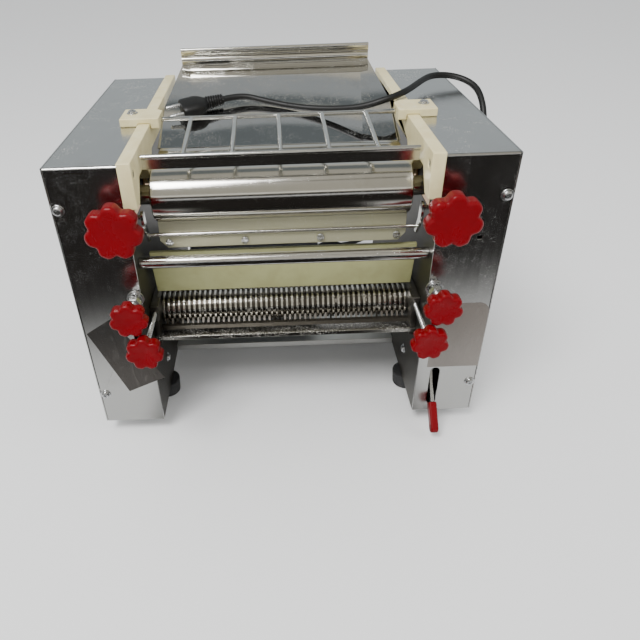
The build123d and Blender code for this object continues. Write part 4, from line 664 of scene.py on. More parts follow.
# ---------------------------------------------------------------- workshop
@dataclass(frozen=True)
class Workshop:
    """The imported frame's nodes, and the steps that every sub-assembly shares."""

    nodes: Dict[str, Piece]

    def merged(self, node: str) -> bmesh.types.BMesh:
        """A copy of a node's mesh with its loose triangles joined and flat areas made whole."""
        work = bmesh.new()
        work.from_mesh(self.nodes[node].data)
        bmesh.ops.remove_doubles(work, verts=work.verts, dist=MERGE)
        bmesh.ops.dissolve_limit(work, angle_limit=math.radians(FLAT_ANGLE), verts=work.verts,
                                 edges=work.edges)
        return work

    def keep(self, piece: Piece, finish: Finish, body: str, *nodes: str) -> Piece:
        """Lets a piece ride on a body, and stand for the nodes that it replaces."""
        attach(piece, body)
        if nodes:
            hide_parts(*nodes)
        LOG.info("%s rides on %s, finish %s", piece.name, body, finish.name)
        return piece

    def add(self, name: str, shape: Shape, finish: Finish, smooth: float, body: str,
            *nodes: str) -> Piece:
        """Makes a piece from vertices and faces and keeps it."""
        return self.keep(moulded(name, shape, finish, smooth), finish, body, *nodes)

    def scatter(self, name: str, shape: Mesh, places: Sequence[Place], finish: Finish,
                smooth: float, body: str, *nodes: str) -> Piece:
        """Makes a piece that repeats a shape and keeps it."""
        return self.keep(repeated(name, shape, places, finish, smooth), finish, body, *nodes)

    def skin(self, node: str, finish: Finish, bevel: float = 0.0, segments: int = 2,
             smooth: float = 35.0) -> Piece:
        """Replaces a node by its own shape with softened edges and a finish.

        Args:
            node: The node's name.
            finish: Its finish.
            bevel: Width of the softened edges in millimetres, or 0 for none.
            segments: Faces across a softened edge.
            smooth: Edges sharper than this, in degrees, stay crisp in the shading.

        Returns:
            The new piece.
        """
        work = self.merged(node)
        mesh = bpy.data.meshes.new(node + "_skin")
        work.to_mesh(mesh)
        work.free()
        piece = shown(node + "_skin", rounded(mesh, finish, bevel, segments, smooth))
        return self.keep(piece, finish, self.body(node), node)

    def skins(self, *rows: Tuple[object, ...]) -> None:
        """Skins nodes from rows of a node, its finish and what else skin takes."""
        for row in rows:
            self.skin(*row)

    def body(self, node: str) -> str:
        """The body that a node rides on."""
        return self.nodes[node]["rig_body"]

    def islands(self, node: str) -> List[List[Vector]]:
        """The vertices of each separate solid of a node."""
        work = self.merged(node)
        seen: set = set()
        groups = []
        for start in work.verts:
            if start.index in seen:
                continue
            seen.add(start.index)
            stack, group = [start], []
            while stack:
                vert = stack.pop()
                group.append(vert.co.copy())
                for edge in vert.link_edges:
                    other = edge.other_vert(vert)
                    if other.index not in seen:
                        seen.add(other.index)
                        stack.append(other)
            groups.append(group)
        work.free()
        return groups


# ---------------------------------------------------------------- camera, light and floor
BLACK_ROOM: Colour = (0.013, 0.012, 0.011)
DIM_WALL: Colour = (0.035, 0.032, 0.028)
LAMP_LINE: Colour = (1.15, 1.12, 1.02)
CEILING: Colour = (0.48, 0.46, 0.395)
PALE_WALL: Colour = (0.50, 0.54, 0.555)
TAUPE: Colour = (0.64, 0.61, 0.51)
SLATE: Colour = (0.165, 0.185, 0.19)
WINDOW: Colour = (0.40, 0.425, 0.43)


@dataclass
class Studio:
    """The camera, soft light, a pale floor, and cards that only bright metal mirrors."""

    eye: Triple = (-0.0085, -0.65589, 0.53262)
    pitch: float = 34.30
    roll: float = -2.046
    lens: float = 33.07
    shift: Pair = (0.0668, -0.0244)
    floor_half: float = 7.0
    air: Colour = (0.93, 0.94, 0.95)
    air_strength: float = 1.0
    room_radius: float = 6.0
    room_middle: float = 0.3
    room_rows: int = 12
    room_columns: int = 32
    front_room: Tuple[Tuple[float, Colour], ...] = (
        (0.0, BLACK_ROOM), (0.08, BLACK_ROOM), (0.15, DIM_WALL), (0.17, LAMP_LINE),
        (0.23, LAMP_LINE), (0.27, CEILING), (0.80, CEILING), (0.83, DIM_WALL), (0.86, CEILING),
        (1.0, CEILING))
    rear_room: Tuple[Tuple[float, Colour], ...] = (
        (0.0, PALE_WALL), (0.62, PALE_WALL), (0.700, TAUPE), (0.7275, TAUPE), (0.7295, WINDOW),
        (0.7495, WINDOW), (0.7515, SLATE), (0.7615, SLATE), (0.7635, TAUPE), (0.770, TAUPE),
        (0.772, WINDOW), (0.7815, WINDOW), (0.7845, SLATE), (0.94, SLATE), (0.96, CEILING),
        (1.0, CEILING))
    flag_near: float = -0.235
    flag_far: float = -0.49
    flag_lean: float = 0.14
    flag_gap: Pair = (0.13, 0.19)
    flag_start: float = -0.148
    flag_height: float = 0.001
    flag_end: float = -4.0

    def camera(self) -> None:
        """A camera that looks along +Y and down, turned a little about its own axis."""
        data = bpy.data.cameras.new("view")
        data.lens = self.lens
        data.sensor_width = 36.0
        data.shift_x, data.shift_y = self.shift
        data.clip_start = 0.01
        made = shown("view", data)
        tilt = Matrix.Rotation(math.radians(90.0 - self.pitch), 4, "X")
        made.matrix_world = (Matrix.Translation(self.eye) @ tilt
                             @ Matrix.Rotation(math.radians(self.roll), 4, "Z"))
        bpy.context.scene.camera = made

    def lamp(self, name: str, at: Triple, target: Triple, size: Pair, power: float,
             mirrored: bool = False) -> None:
        """A rectangular soft box that looks at a target; its power is in watts."""
        data = bpy.data.lights.new(name, "AREA")
        data.shape = "RECTANGLE"
        data.size, data.size_y = size
        data.energy = power
        made = shown(name, data)
        made.location = at
        made.rotation_euler = (Vector(target) - Vector(at)).to_track_quat("-Z", "Y").to_euler()
        made.visible_glossy = mirrored

    def world(self) -> None:
        """Even pale light from all sides."""
        world = bpy.data.worlds.new("studio_air")
        bpy.context.scene.world = world
        world.use_nodes = True
        inputs = world.node_tree.nodes["Background"].inputs
        inputs["Color"].default_value = (*self.air, 1.0)
        inputs["Strength"].default_value = self.air_strength

    def room(self) -> None:
        """What bright metal mirrors: a dark room and a lit ceiling, with a pale wall behind."""
        rings = []
        for row in range(self.room_rows):
            lift = math.pi / 2 * row / self.room_rows
            reach, height = (self.room_radius * way(lift) for way in (math.cos, math.sin))
            rings.append(circle(reach, self.room_middle + height, self.room_columns))
        verts, faces = ring_stack(rings)
        mesh = mesh_from("mirrored_room", verts, faces[1:])
        graph = Graph("room_card")
        aim = graph.node("ShaderNodeVectorMath", {"operation": "NORMALIZE"},
                         {0: graph.where(middle=(0.0, 0.0, self.room_middle))})
        height = graph.part(aim, 2)
        front, rear = (graph.ramp(height, stops) for stops in (self.front_room, self.rear_room))
        behind = graph.part(aim, 1).between(-0.12, 0.12)
        graph.surface(Base_Color=(0.0, 0.0, 0.0), Roughness=1.0, Specular_IOR_Level=0.0,
                      Emission_Color=graph.mix(behind, front, rear), Emission_Strength=1.0)
        self.card(mesh, graph)

    def patch(self, name: str, near: float, far: float, height: float = 0.0) -> Mesh:
        """A level rectangle as wide as the floor."""
        wide = self.floor_half
        corners = ((-wide, near), (wide, near), (wide, far), (-wide, far))
        return mesh_from(name, [(*corner, height) for corner in corners], [(0, 1, 2, 3)])

    def card(self, mesh: Mesh, graph: Graph, seen: bool = False) -> None:
        """Stages a surface; one that isn't seen shows only in what mirrors it."""
        mesh.materials.append(graph.material)
        made = shown(mesh.name, mesh)
        made.visible_camera = made.visible_diffuse = made.visible_shadow = seen
        made.visible_transmission = made.visible_volume_scatter = seen

    def floor(self) -> None:
        """The pale floor."""
        mesh = self.patch("floor", -self.floor_half, self.floor_half)
        graph = Graph("pale_floor")
        grain = graph.noise(30.0, 4.0)
        graph.surface(Base_Color=graph.mix(grain * 0.2, (0.90, 0.90, 0.895), (0.87, 0.87, 0.865)),
                      Roughness=0.75 + 0.1 * grain)
        self.card(mesh, graph, seen=True)

    def flag(self) -> None:
        """A black flag that only polished metal mirrors: the bench gets dark towards the viewer."""
        mesh = self.patch("black_flag", self.flag_end, self.flag_start, self.flag_height)
        graph = Graph("flag_cloth")
        share = graph.axis(1) + self.flag_lean * graph.axis(0)
        share = share.between(self.flag_far, self.flag_near)
        share = share * graph.math("ABSOLUTE", graph.axis(0), 0.0).between(*self.flag_gap)
        graph.surface(Base_Color=graph.mix(share, (0.012, 0.011, 0.010), (0.54, 0.54, 0.53)),
                      Roughness=0.9, Specular_IOR_Level=0.0)
        self.card(mesh, graph)

    def build(self) -> None:
        """Camera, world, lamps, floor and the two mirrored cards."""
        self.camera()
        self.world()
        self.lamp("key_box", (-0.7, -1.1, 2.1), (0.0, 0.0, 0.2), (0.9, 0.9), 50.0, True)
        self.lamp("fill_box", (1.6, -0.6, 1.4), (0.0, 0.0, 0.2), (1.2, 1.2), 8.0)
        self.floor()
        self.flag()
        self.room()


# ---------------------------------------------------------------- cord
CORD_D = 7.4
REST = -16.2                      # height of the cord's axis where it lies on the floor

CORD_TAIL = [
    (190.0, 364.0, 60.0), (190.0, 386.0, 60.0), (189.0, 411.0, 53.0), (185.0, 434.0, 34.0),
    (177.0, 451.0, 9.0), (160.0, 460.0, -9.0), (138.0, 458.0, REST), (117.0, 452.0, REST),
]
CORD_LEAD = [
    (124.0, 368.0, -10.0), (147.0, 364.0, -13.5), (172.0, 360.0, REST), (200.0, 355.0, REST),
    (228.0, 344.0, REST), (250.0, 322.0, REST), (261.0, 290.0, REST), (265.0, 254.0, -11.0),
    (263.0, 222.0, 10.0), (258.0, 198.0, 46.0), (252.0, 182.0, 92.0), (247.0, 171.0, 142.0),
    (244.0, 163.0, 192.0), (243.0, 161.0, 238.0), (243.0, 168.0, 276.0), (244.0, 185.0, 303.0),
    (243.0, 201.0, 316.0), (240.0, 216.0, 323.0), (231.0, 228.0, 328.0), (217.0, 235.0, 331.5),
    (202.0, 236.0, 333.0), (188.0, 230.0, 333.5), (177.0, 218.0, 333.0), (165.0, 201.0, 332.0),
    (154.0, 185.0, 331.0), (141.0, 171.0, 329.5), (122.0, 163.0, 325.5), (96.0, 168.0, 316.5),
    (62.0, 184.0, 311.0), (24.0, 199.0, 310.3), (-12.0, 212.0, 314.8), (-43.0, 220.0, 321.9),
    (-65.0, 212.0, 319.4),
]


@dataclass
class PowerCord:
    """The mains cord from the gland through its coil to the plug on the feed board."""

    diameter: float = CORD_D * MM
    length: float = 1.76
    coil_middle: Pair = (96.0, 408.0)
    outer_turn: float = 44.0
    inner_turn: float = 36.0
    top_turn: float = 40.0
    coil_turns: float = 2.5
    inwards_span: Pair = (270.0, 345.0)      # degrees round the coil
    upwards_span: Pair = (640.0, 715.0)
    points_per_turn: int = 12
    board_rise: float = 54.0 / 174.0
    grip_length: float = 26.0
    body_length: float = 26.0
    pin_radius: float = 2.4
    pin_length: float = 17.0
    pin_gap: float = 19.0
    gland_length: float = 34.0

    def coil(self) -> List[Triple]:
        """Two turns beside each other on the floor and a half turn on top of them."""
        step = 360.0 / self.points_per_turn
        points = []
        for index in range(1, int(self.coil_turns * self.points_per_turn)):
            inwards = smooth_share(step * index, *self.inwards_span)
            upwards = smooth_share(step * index, *self.upwards_span)
            radius = self.outer_turn + inwards * (self.inner_turn - self.outer_turn)
            radius += upwards * (self.top_turn - self.inner_turn)
            angle = math.radians(90.0 + step * index)
            points.append((self.coil_middle[0] + radius * math.cos(angle),
                           self.coil_middle[1] + radius * math.sin(angle),
                           REST + upwards * CORD_D * 0.95))
        return points

    def route(self) -> List[Vector]:
        """All points of the cord, in metres."""
        return [placed(*point) for point in CORD_TAIL + self.coil() + CORD_LEAD]

    def sheath(self) -> Piece:
        """The cord itself: one smooth spline with a round section."""
        curve = bpy.data.curves.new("power_cord", "CURVE")
        curve.dimensions = "3D"
        spline = curve.splines.new("NURBS")
        points = self.route()
        spline.points.add(len(points) - 1)
        for target, point in zip(spline.points, points):
            target.co = (*point, 1.0)
        spline.order_u = 3
        spline.use_endpoint_u = True
        spline.resolution_u = 8
        curve.bevel_depth = self.diameter / 2
        curve.bevel_resolution = 4
        curve.use_fill_caps = True
        curve.materials.append(CORD_BLACK.material())
        return shown("power_cord", curve)

    def plug_frame(self) -> Matrix:
        """The plug's place: along the cord's last run, flat over the board."""
        before, start = placed(*CORD_LEAD[-2]), placed(*CORD_LEAD[-1])
        along = (start - before).normalized()
        across = along.cross(Vector((0.0, -self.board_rise, 1.0))).normalized()
        return frame_of(start, along, along.cross(across))

    def plug_parts(self) -> List[Tuple[Piece, Finish]]:
        """Body, grip ribs and pins."""
        place = self.plug_frame()
        grip, end, core = self.grip_length, self.grip_length + self.body_length, CORD_D / 2
        rings = [[place @ mm(x, y, height) for x, y in super_ring(x_half, y_half)]
                 for height, x_half, y_half in (
                     (0.0, core + 0.8, core + 0.8), (2.0, core + 1.1, core + 1.1),
                     (grip * 0.7, 5.2, 5.6), (grip * 0.88, 5.9, 8.2), (grip, 6.6, 11.5),
                     (grip + 4.0, 7.5, 14.0), (grip + 9.0, 7.9, 14.9), (end - 5.0, 7.9, 14.9),
                     (end - 1.5, 7.7, 14.5), (end, 6.6, 13.2))]
        body = moulded("plug_body", ring_stack(rings), BLACK, 50.0)
        rib = turned([(core, -0.65), (7.4, -0.65), (7.7, 0.0), (7.4, 0.65), (core, 0.65)], 24)
        aim, side = place.col[2].xyz, place.col[0].xyz
        places = [Place(place @ mm(0, 0, 1.6 + 3.0 * step), aim, side, 0.86 + 0.034 * step)
                  for step in range(7)]
        ribs = repeated("plug_grip_ribs", mesh_from("rib", *rib), places, BLACK, 40.0)
        radius, tip = self.pin_radius, self.pin_length
        pin = turned([(radius, -1.0), (radius, tip - 2.0), (radius * 0.85, tip - 0.9),
                      (radius * 0.45, tip - 0.5)], 20)
        places = [Place(place @ mm(0, lean * self.pin_gap / 2, end), aim, side)
                  for lean in (-1, 1)]
        pins = repeated("plug_pins", mesh_from("pin", *pin), places, ZINC, 40.0)
        return [(body, BLACK), (ribs, BLACK), (pins, ZINC)]

    def build(self, shop: Workshop) -> None:
        cord = self.sheath()
        body = shop.body("cord_lead")
        parts = self.plug_parts()
        for piece, finish in parts:
            shop.keep(piece, finish, body)
        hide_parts("power_plug")
        shop.keep(cord, CORD_BLACK, body, "cord_tail", "cord_coil", "cord_lead")
        self.gland(shop)

    def gland(self, shop: Workshop) -> None:
        """The round nut in the rear wall and the ribbed, tapered strain relief."""
        seat = placed(*CORD_TAIL[0])
        seat.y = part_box("cord_gland")[1].y - self.gland_length * MM
        place = frame_of(seat, BACK, RIGHT)
        nut = turned([(7.0, -8.0), (7.0, 0.0), (10.4, 0.0), (11.0, 0.8), (11.0, 4.6), (10.0, 6.0),
                      (7.6, 6.2), (6.9, 9.0), (5.0, 33.2), (4.4, self.gland_length)], 40, place)
        shop.add("cord_gland_nut", nut, BLACK, 40.0, "housing", "cord_gland")
        ring = turned([(3.9, -0.9), (7.3, -0.9), (7.7, 0.0), (7.3, 0.9), (3.9, 0.9)], 28)
        places = [Place(place @ mm(0, 0, 9.5 + 2.9 * step), BACK, RIGHT, 1.0 - 0.036 * step)
                  for step in range(8)]
        shop.scatter("cord_gland_rings", mesh_from("ring", *ring), places, BLACK, 40.0, "housing")


def smooth_share(value: float, low: float, high: float) -> float:
    """0 below low, 1 above high, smooth between."""
    share = min(1.0, max(0.0, (value - low) / (high - low)))
    return share * share * (3 - 2 * share)


def super_ring(x_half: float, y_half: float, power: float = 3.2, sides: int = 40) -> List[Pair]:
    """A rounded rectangle as a superellipse."""
    return [tuple(half * math.copysign(abs(share) ** (2 / power), share)
                  for half, share in ((x_half, math.cos(turn)), (y_half, math.sin(turn))))
            for turn in full_turn(sides)]


# ---------------------------------------------------------------- knobs
@dataclass
class StarKnob:
    """A moulded seven-lobed knob with its threaded rod, in millimetres; screw is a radius."""

    node: str
    radius: float
    depth: float
    thick: float
    hub: float
    hub_length: float
    screw: float
    lobes: int = 7
    steps_per_lobe: int = 18
    edge: float = 2.6
    pitch: float = 1.25
    valley_power: float = 1.9

    def outline(self, inset: float, lobed: float, plain: float) -> List[Pair]:
        """A ring of the knob: an inset star where lobed is 1, a plain circle where it is 0."""
        points = []
        for turn in full_turn(self.lobes * self.steps_per_lobe):
            valley = (1 - math.cos(self.lobes * turn)) / 2
            star = self.radius - self.depth * valley ** self.valley_power - inset
            reach = lobed * star + (1 - lobed) * plain
            points.append((reach * math.sin(turn), -reach * math.cos(turn)))
        return points

    def head(self, place: Matrix) -> Shape:
        """The red moulding: a flat face with a shallow dish, round edges, and the hub behind it."""
        edge, thick, hub, end = self.edge, self.thick, self.hub, self.thick + self.hub_length
        layers = [(0.0, 0.0, self.radius * 0.16, 0.9), (0.0, 0.0, self.radius * 0.30, 0.9),
                  (0.0, 0.25, self.radius * 0.42, 0.25), (edge * 2.0, 1.0, 0.0, 0.10),
                  (edge * 1.25, 1.0, 0.0, 0.0)]
        layers += [(edge * 1.25 * (1 - math.sin(turn)), 1.0, 0.0, edge * (1 - math.cos(turn)))
                   for turn in quarter_turn(5)]
        layers.append((0.0, 1.0, 0.0, thick - edge))
        layers += [(edge * (1 - math.cos(turn)), 1.0, 0.0, thick - edge + edge * math.sin(turn))
                   for turn in quarter_turn(4)]
        layers += [(edge * 2, 0.5, hub * 1.15, thick), (0.0, 0.0, hub + 0.8, thick),
                   (0.0, 0.0, hub, thick + 1.0), (0.0, 0.0, hub * 0.95, end - 0.6),
                   (0.0, 0.0, hub * 0.88, end)]
        return ring_stack([[place @ mm(x, y, height) for x, y in self.outline(inset, lobed, plain)]
                           for inset, lobed, plain, height in layers])

    def rod(self, place: Matrix, start: float, end: float) -> Mesh:
        """A rod with a rolled thread, as one helical strip between two heights."""
        sides, root = 20, self.screw * 0.86
        turns = int((end - start) / self.pitch)
        verts: List[Vector] = []
        for step in range(turns * sides + 1):
            angle = 2 * math.pi * (step % sides) / sides
            climb = start + self.pitch * step / sides
            for reach, up in ((root, 0.0), (self.screw, self.pitch * 0.35),
                              (self.screw, self.pitch * 0.6)):
                verts.append(place @ mm(reach * math.cos(angle), reach * math.sin(angle),
                                        climb + up))
        faces = []
        for step in range(turns * sides):
            a, b = 3 * step, 3 * (step + 1)
            faces += [(a, b, b + 1, a + 1), (a + 1, b + 1, b + 2, a + 2)]
            above = 3 * (step + sides)
            if step + sides + 1 <= turns * sides:
                faces.append((a + 2, b + 2, above + 3, above))
        return mesh_from(self.node + "_rod", verts, faces, fill=True)

    def build(self, shop: Workshop) -> None:
        """Makes head and rod where the node is; one lobe points down, to the box's bottom."""
        low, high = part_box(self.node)
        seat = Vector(((low.x + high.x) / 2, low.y, low.z + self.radius * MM))
        place = frame_of(seat, BACK, RIGHT)
        body = shop.body(self.node)
        shop.add(self.node + "_head", self.head(place), RED, 40.0, body, self.node)
        start = self.thick + self.hub_length - 3.0
        rod = linked(self.node + "_rod", self.rod(place, start, (high.y - low.y) / MM), ZINC, 60.0)
        shop.keep(rod, ZINC, body)


def knobs() -> List[StarKnob]:
    """The six knobs."""
    return [knob for side in ("left", "right") for knob in (
        StarKnob(f"{side}_gap_knob", 27.0, 4.5, 16.0, 12.0, 8.0, 4.0, edge=3.4),
        StarKnob(f"{side}_board_knob", 19.2, 3.2, 12.5, 8.5, 6.0, 4.0),
        StarKnob(f"{side}_cutter_knob", 19.2, 3.2, 12.5, 8.5, 6.0, 2.5, pitch=0.8))]


# ---------------------------------------------------------------- screws
@dataclass
class Fasteners:
    """Cross-recessed pan screws with washers, and socket bolts in the cheeks, in millimetres."""

    head_radius: float = 4.6
    head_height: float = 2.8
    washer_radius: float = 6.0
    washer: float = 0.9
    bolt_radius: float = 4.4
    socket_radius: float = 2.2
    recess: float = 1.7

    def pan_head(self) -> Mesh:
        """A washer, a domed head and its cross recess, seated at the origin."""
        top = self.washer + self.head_height
        dome, ring, low = self.head_radius, self.washer_radius, self.washer
        profile = [(2.5, -4.0), (2.5, 0.0), (ring - 0.2, 0.0), (ring, 0.25), (ring, low - 0.25),
                   (ring - 0.25, low), (dome, low), (dome, low + 0.9),
                   (dome * 0.95, low + 1.7), (dome * 0.80, top - 0.45),
                   (dome * 0.55, top - 0.1), (dome * 0.2, top)]
        head = moulded("pan_head", turned(profile, 28), ZINC)
        cross = bmesh.new()
        for wide, narrow in ((2.7, 0.75), (0.75, 2.7)):
            for vert in bmesh.ops.create_cube(cross, size=1.0)["verts"]:
                taper = 2 * (1.0 if vert.co.z > 0 else 0.55)
                vert.co = Vector((vert.co.x * wide * taper, vert.co.y * narrow * taper,
                                  vert.co.z * 2 * self.recess + top)) * MM
        mesh = bpy.data.meshes.new("cross")
        cross.to_mesh(mesh)
        cross.free()
        cutter = shown("cross", mesh)
        cut = head.modifiers.new("recess", "BOOLEAN")
        cut.operation = "DIFFERENCE"
        cut.solver = "EXACT"
        cut.use_self = True
        cut.object = cutter
        mesh = settled(head)
        bpy.data.objects.remove(cutter)
        return mesh

    def socket_head(self) -> Mesh:
        """A cheek bolt: shank, round head and a six-sided socket."""
        wide, flats = self.bolt_radius, self.socket_radius
        rings = []
        for reach, height, six_sided in (
                (2.5, -14.0, False), (2.5, 0.0, False), (wide, 0.0, False), (wide, 3.5, False),
                (wide - 0.5, 4.0, False), (flats, 4.0, True), (flats, 2.0, True)):
            ring = []
            for turn in full_turn(24):
                corner = math.cos(math.pi / 6) / math.cos((turn % (math.pi / 3)) - math.pi / 6)
                radius = reach * corner if six_sided else reach
                ring.append(mm(radius * math.cos(turn), radius * math.sin(turn), height))
            rings.append(ring)
        return mesh_from("socket_head", *ring_stack(rings))

    def seat(self, points: List[Vector]) -> Tuple[Place, bool]:
        """The place of a screw with these vertices, and whether it is a pan screw with a washer."""
        low = Vector([min(p[i] for p in points) for i in range(3)])
        high = Vector([max(p[i] for p in points) for i in range(3)])
        size = high - low
        along = min(range(3), key=lambda i: abs(size[(i + 1) % 3] - size[(i + 2) % 3]))
        middle = (low + high) / 2
        width = size[(along + 1) % 3] / 2
        wide = [p[along] for p in points
                if math.hypot(p[(along + 1) % 3] - middle[(along + 1) % 3],
                              p[(along + 2) % 3] - middle[(along + 2) % 3]) > width * 0.97]
        outwards = 1.0 if sum(wide) / len(wide) > middle[along] else -1.0
        aim = Vector((0.0, 0.0, 0.0))
        aim[along] = outwards
        at = middle.copy()
        at[along] = min(wide) if outwards > 0 else max(wide)
        twist = 37.0 * (at.x * 61 + at.y * 47 + at.z * 83)
        side = Vector((math.cos(twist), math.sin(twist), 0.3 * math.sin(2 * twist)))
        side = side - aim * side.dot(aim)
        return Place(at, aim, side.normalized()), width > (self.washer_radius - 0.4) * MM

    def build(self, shop: Workshop) -> None:
        """Sets a detailed head at every screw of the node."""
        seats = [self.seat(points) for points in shop.islands("machine_screws")]
        pans = [place for place, is_pan in seats if is_pan]
        bolts = [place for place, is_pan in seats if not is_pan]
        shop.scatter("pan_screws", self.pan_head(), pans, ZINC, 30.0, "housing", "machine_screws")
        shop.scatter("cheek_bolts", self.socket_head(), bolts, ZINC, 30.0, "housing")


# ---------------------------------------------------------------- housing
@dataclass
class Housing:
    """Frame plates, sheet boxes, nylon cheeks, boards and feet."""

    sheet_edge: float = 0.35
    plate_edge: float = 0.6
    nylon_edge: float = 1.3
    foot_edge: float = 1.4
    board_smooth: float = 3.0
    film_thick: float = 0.25
    film_gap: float = 0.05
    dark_film: Tuple[Pair, ...] = (
        (-216.5, 131.9), (-186.9, 150.7), (-140.6, 66.4), (-184.2, 46.9))
    pale_film: Tuple[float, float, float, float] = (161.0, 219.0, 67.5, 155.0)
    pale_corner: float = 12.0
    hem_half: float = 122.0
    hem_fold: Tuple[float, float, float, float] = (304.4, 311.0, 349.6, 359.9)
    hem_bead: Tuple[float, float, float, float] = (304.8, 309.0, 337.8, 348.8)

    def film(self, name: str, outline: Sequence[Pair], finish: Finish, shop: Workshop) -> None:
        """A leftover film on a box front, from its (x, z) outline."""
        back = -self.film_gap
        verts = [placed(x, y, z) for y in (back - self.film_thick, back) for x, z in outline]
        count = len(outline)
        faces = [tuple(range(count)), tuple(range(count, 2 * count))]
        faces += [(i, (i + 1) % count, count + (i + 1) % count, count + i) for i in range(count)]
        shop.add(name, (verts, faces), finish, 35.0, "housing")

    def hem(self, shop: Workshop) -> None:
        """The feed board's rolled hem: a flat fold on top and a round bead below it."""
        ends = (-self.hem_half, self.hem_half)
        for name, (front, back, low, high), power in (("hem_fold", self.hem_fold, 5.0),
                                                      ("hem_bead", self.hem_bead, 2.4)):
            middle_y, middle_z = (front + back) / 2, (low + high) / 2
            ring = super_ring((back - front) / 2, (high - low) / 2, power)
            rings = [[placed(x, middle_y + y, middle_z + z) for y, z in ring] for x in ends]
            shop.add(name, ring_stack(rings), HEM_SHEET, 40.0, "housing")

    def pale_outline(self) -> List[Pair]:
        """The right film: a rectangle with one rounded upper corner."""
        left, right, low, high = self.pale_film
        corner = [(right - self.pale_corner * (1 - math.cos(turn)),
                   high - self.pale_corner * (1 - math.sin(turn)))
                  for turn in [0.0] + quarter_turn(8)]
        return [(left, low), (right, low)] + corner + [(left, high)]

    def build(self, shop: Workshop) -> None:
        """Skins every housing node, then adds the films."""
        for side in ("left", "right"):
            shop.skins((f"{side}_box_shell", BOX_SHEET, self.sheet_edge, 1),
                       (f"{side}_side_panel", BOX_SHEET, self.sheet_edge, 1),
                       (f"{side}_frame_plate", SHADE_DARK_PLATE, self.plate_edge),
                       (f"{side}_cheek_plate", CREAM, self.nylon_edge, 3),
                       (f"{side}_guard_block", CREAM, self.nylon_edge, 3),
                       (f"{side}_cutter_plate", CUTTER_PLATE, self.plate_edge))
        shop.skins(("base_plate", BASE, self.plate_edge), ("tie_rods", TIE_ROD, self.plate_edge),
                   ("rubber_feet", FOOT_RUBBER, self.foot_edge, 3))
        shop.skin("feed_board", BOARD_SHEET, smooth=self.board_smooth)
        self.hem(shop)
        shop.skins(("guide_board", GUIDE, self.plate_edge, 3),
                   ("front_apron", TRAY, self.sheet_edge))
        self.film("left_front_film", self.dark_film, DARK_FILM, shop)
        self.film("right_front_film", self.pale_outline(), PALE_FILM, shop)


# ---------------------------------------------------------------- guard, press and scraper
@dataclass
class Press:
    """Rollers, their bearings and gears, the scraper and the hinged guard."""

    guard_rod: float = 2.5 * MM              # radius of the guard's long rods
    guard_drop: float = 10.0 * MM            # the front rod's axis lies this far under the top
    wire_pitch: float = 47.25 * MM
    weld: Tuple[Pair, ...] = ((0.4, -2.1), (2.2, -1.5), (3.0, 0.0), (2.2, 1.5), (0.4, 2.1))

    def welds(self, shop: Workshop) -> None:
        """Weld blobs where the guard's cross wires meet its long rods."""
        low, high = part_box("guard_grille")
        rod = self.guard_rod
        front = Vector((0, low.y + rod, high.z - self.guard_drop))
        rear = Vector((0, high.y - rod, high.z - rod))
        slope = (rear - front).normalized()
        places = [Place(end + RIGHT * (index * self.wire_pitch) + slope * way * rod * 1.2, UP)
                  for index in range(-2, 3) for end, way in ((front, 1.0), (rear, -1.0))]
        blob = mesh_from("weld", *turned(self.weld, 12))
        shop.scatter("guard_welds", blob, places, WIRE, 60.0, shop.body("guard_grille"))

    def build(self, shop: Workshop) -> None:
        """Skins the press nodes and welds the guard."""
        shop.skins(("front_press_roller", ROLLER, 0.3), ("rear_press_roller", ROLLER, 0.3),
                   ("bearing_blocks", BRONZE, 0.4), ("shaft_bushes", BRONZE, 0.4),
                   ("rear_roller_gear", GEAR), ("front_roller_gear", GEAR),
                   ("lock_nuts", ZINC, 0.5, 3), ("scraper_blade", BLADE, 0.4),
                   ("scraper_hanger", TIE_ROD, 0.4),
                   ("scraper_screws", ZINC, 0.3), ("guard_grille", WIRE))
        self.welds(shop)


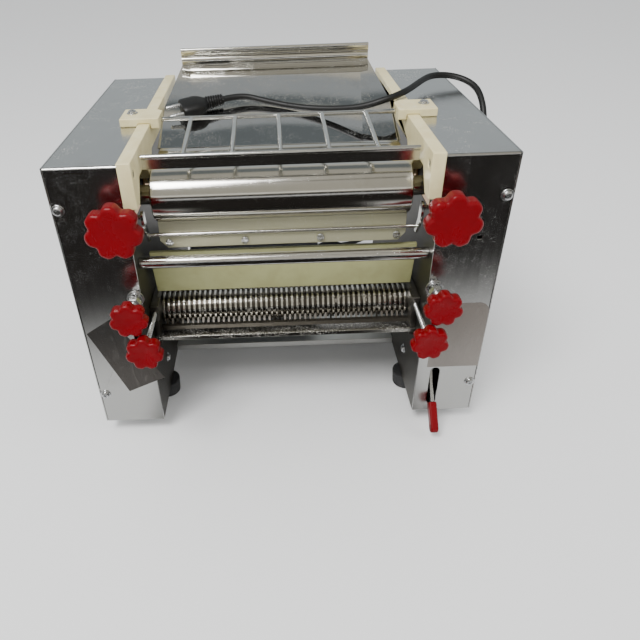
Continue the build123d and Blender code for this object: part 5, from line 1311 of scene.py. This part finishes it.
# ---------------------------------------------------------------- drives and cutter
@dataclass
class Drives:
    """Motor, belt, gear trains, clutch lever and cutter."""

    motor_radius: float = 50.0
    motor_axis: Pair = (255.0, 80.0)
    motor_ends: Pair = (-128.0, 52.0)
    bolt_circle: float = 36.0
    fin_count: int = 30
    fin_span: Pair = (-112.0, 34.0)
    fin_rise: float = 2.4
    fin_thick: float = 1.6

    def fins(self, shop: Workshop) -> None:
        """Cooling fins along the motor, all round except over its feet."""
        length = (self.fin_span[1] - self.fin_span[0]) / 2
        rise, half = self.fin_rise, self.fin_thick / 2
        section = [(-half, -1.0), (half, -1.0), (half * 0.7, rise * 0.8), (half * 0.3, rise),
                   (-half * 0.3, rise), (-half * 0.7, rise * 0.8)]
        rings = [[mm(x, y, z) for y, z in section] for x in (-length, length)]
        shape = mesh_from("fin", *ring_stack(rings))
        middle = (self.fin_span[0] + self.fin_span[1]) / 2
        places = []
        for index in range(self.fin_count):
            turn = math.radians(-35 + 250 * index / (self.fin_count - 1))
            aim = Vector((0, math.cos(turn), math.sin(turn)))
            at = placed(middle, self.motor_axis[0] + self.motor_radius * aim.y,
                        self.motor_axis[1] + self.motor_radius * aim.z)
            places.append(Place(at, aim))
        shop.scatter("motor_fins", shape, places, ENAMEL, 30.0, "housing")

    def end_bolts(self, shop: Workshop) -> None:
        """Four bolt heads on each end shield."""
        shape = mesh_from("end_bolt", *turned([(3.4, -1.0), (3.4, 1.8), (2.9, 2.4)], 6))
        places = []
        for end, way in ((self.motor_ends[0], -1.0), (self.motor_ends[1], 1.0)):
            for corner in range(4):
                turn = math.radians(45 + 90 * corner)
                at = placed(end, self.motor_axis[0] + self.bolt_circle * math.cos(turn),
                            self.motor_axis[1] + self.bolt_circle * math.sin(turn))
                places.append(Place(at, RIGHT * way, BACK))
        shop.scatter("motor_end_bolts", shape, places, ZINC, 30.0, "housing")

    def build(self, shop: Workshop) -> None:
        """Skins the drive nodes and adds the motor's details."""
        shop.skin("motor_body", ENAMEL, 0.6)
        self.fins(shop)
        self.end_bolts(shop)
        shop.skin("drive_belt", BELT_RUBBER, 0.5)
        for node in ("roller_drive_gear", "step_gear", "layshaft", "motor_pulley", "takeoff_gear",
                     "idler_gear", "swing_gear", "cutter_input_gear", "rear_cutter_gear",
                     "front_cutter_gear"):
            shop.skin(node, GEAR)
        shop.skins(("clutch_lever", ZINC, 0.5), ("lever_grip", RED, 1.8, 4),
                   ("front_cutter_roller", CUTTER, 0.45), ("rear_cutter_roller", CUTTER, 0.45),
                   ("noodle_combs", COMB))


def power_switch(shop: Workshop) -> None:
    """The rocker switch in the right rear."""
    shop.skins(("switch_housing", BLACK, 0.6, 3), ("switch_rocker", RED, 0.4, 3))


def main() -> None:
    """Builds every sub-assembly in order."""
    logging.basicConfig(level=logging.INFO, format="%(message)s")
    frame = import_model()
    shop = Workshop(frame["nodes"])
    Studio().build()
    PowerCord().build(shop)
    Housing().build(shop)
    Fasteners().build(shop)
    Press().build(shop)
    Drives().build(shop)
    for knob in knobs():
        knob.build(shop)
    power_switch(shop)


if __name__ == "__main__":
    main()
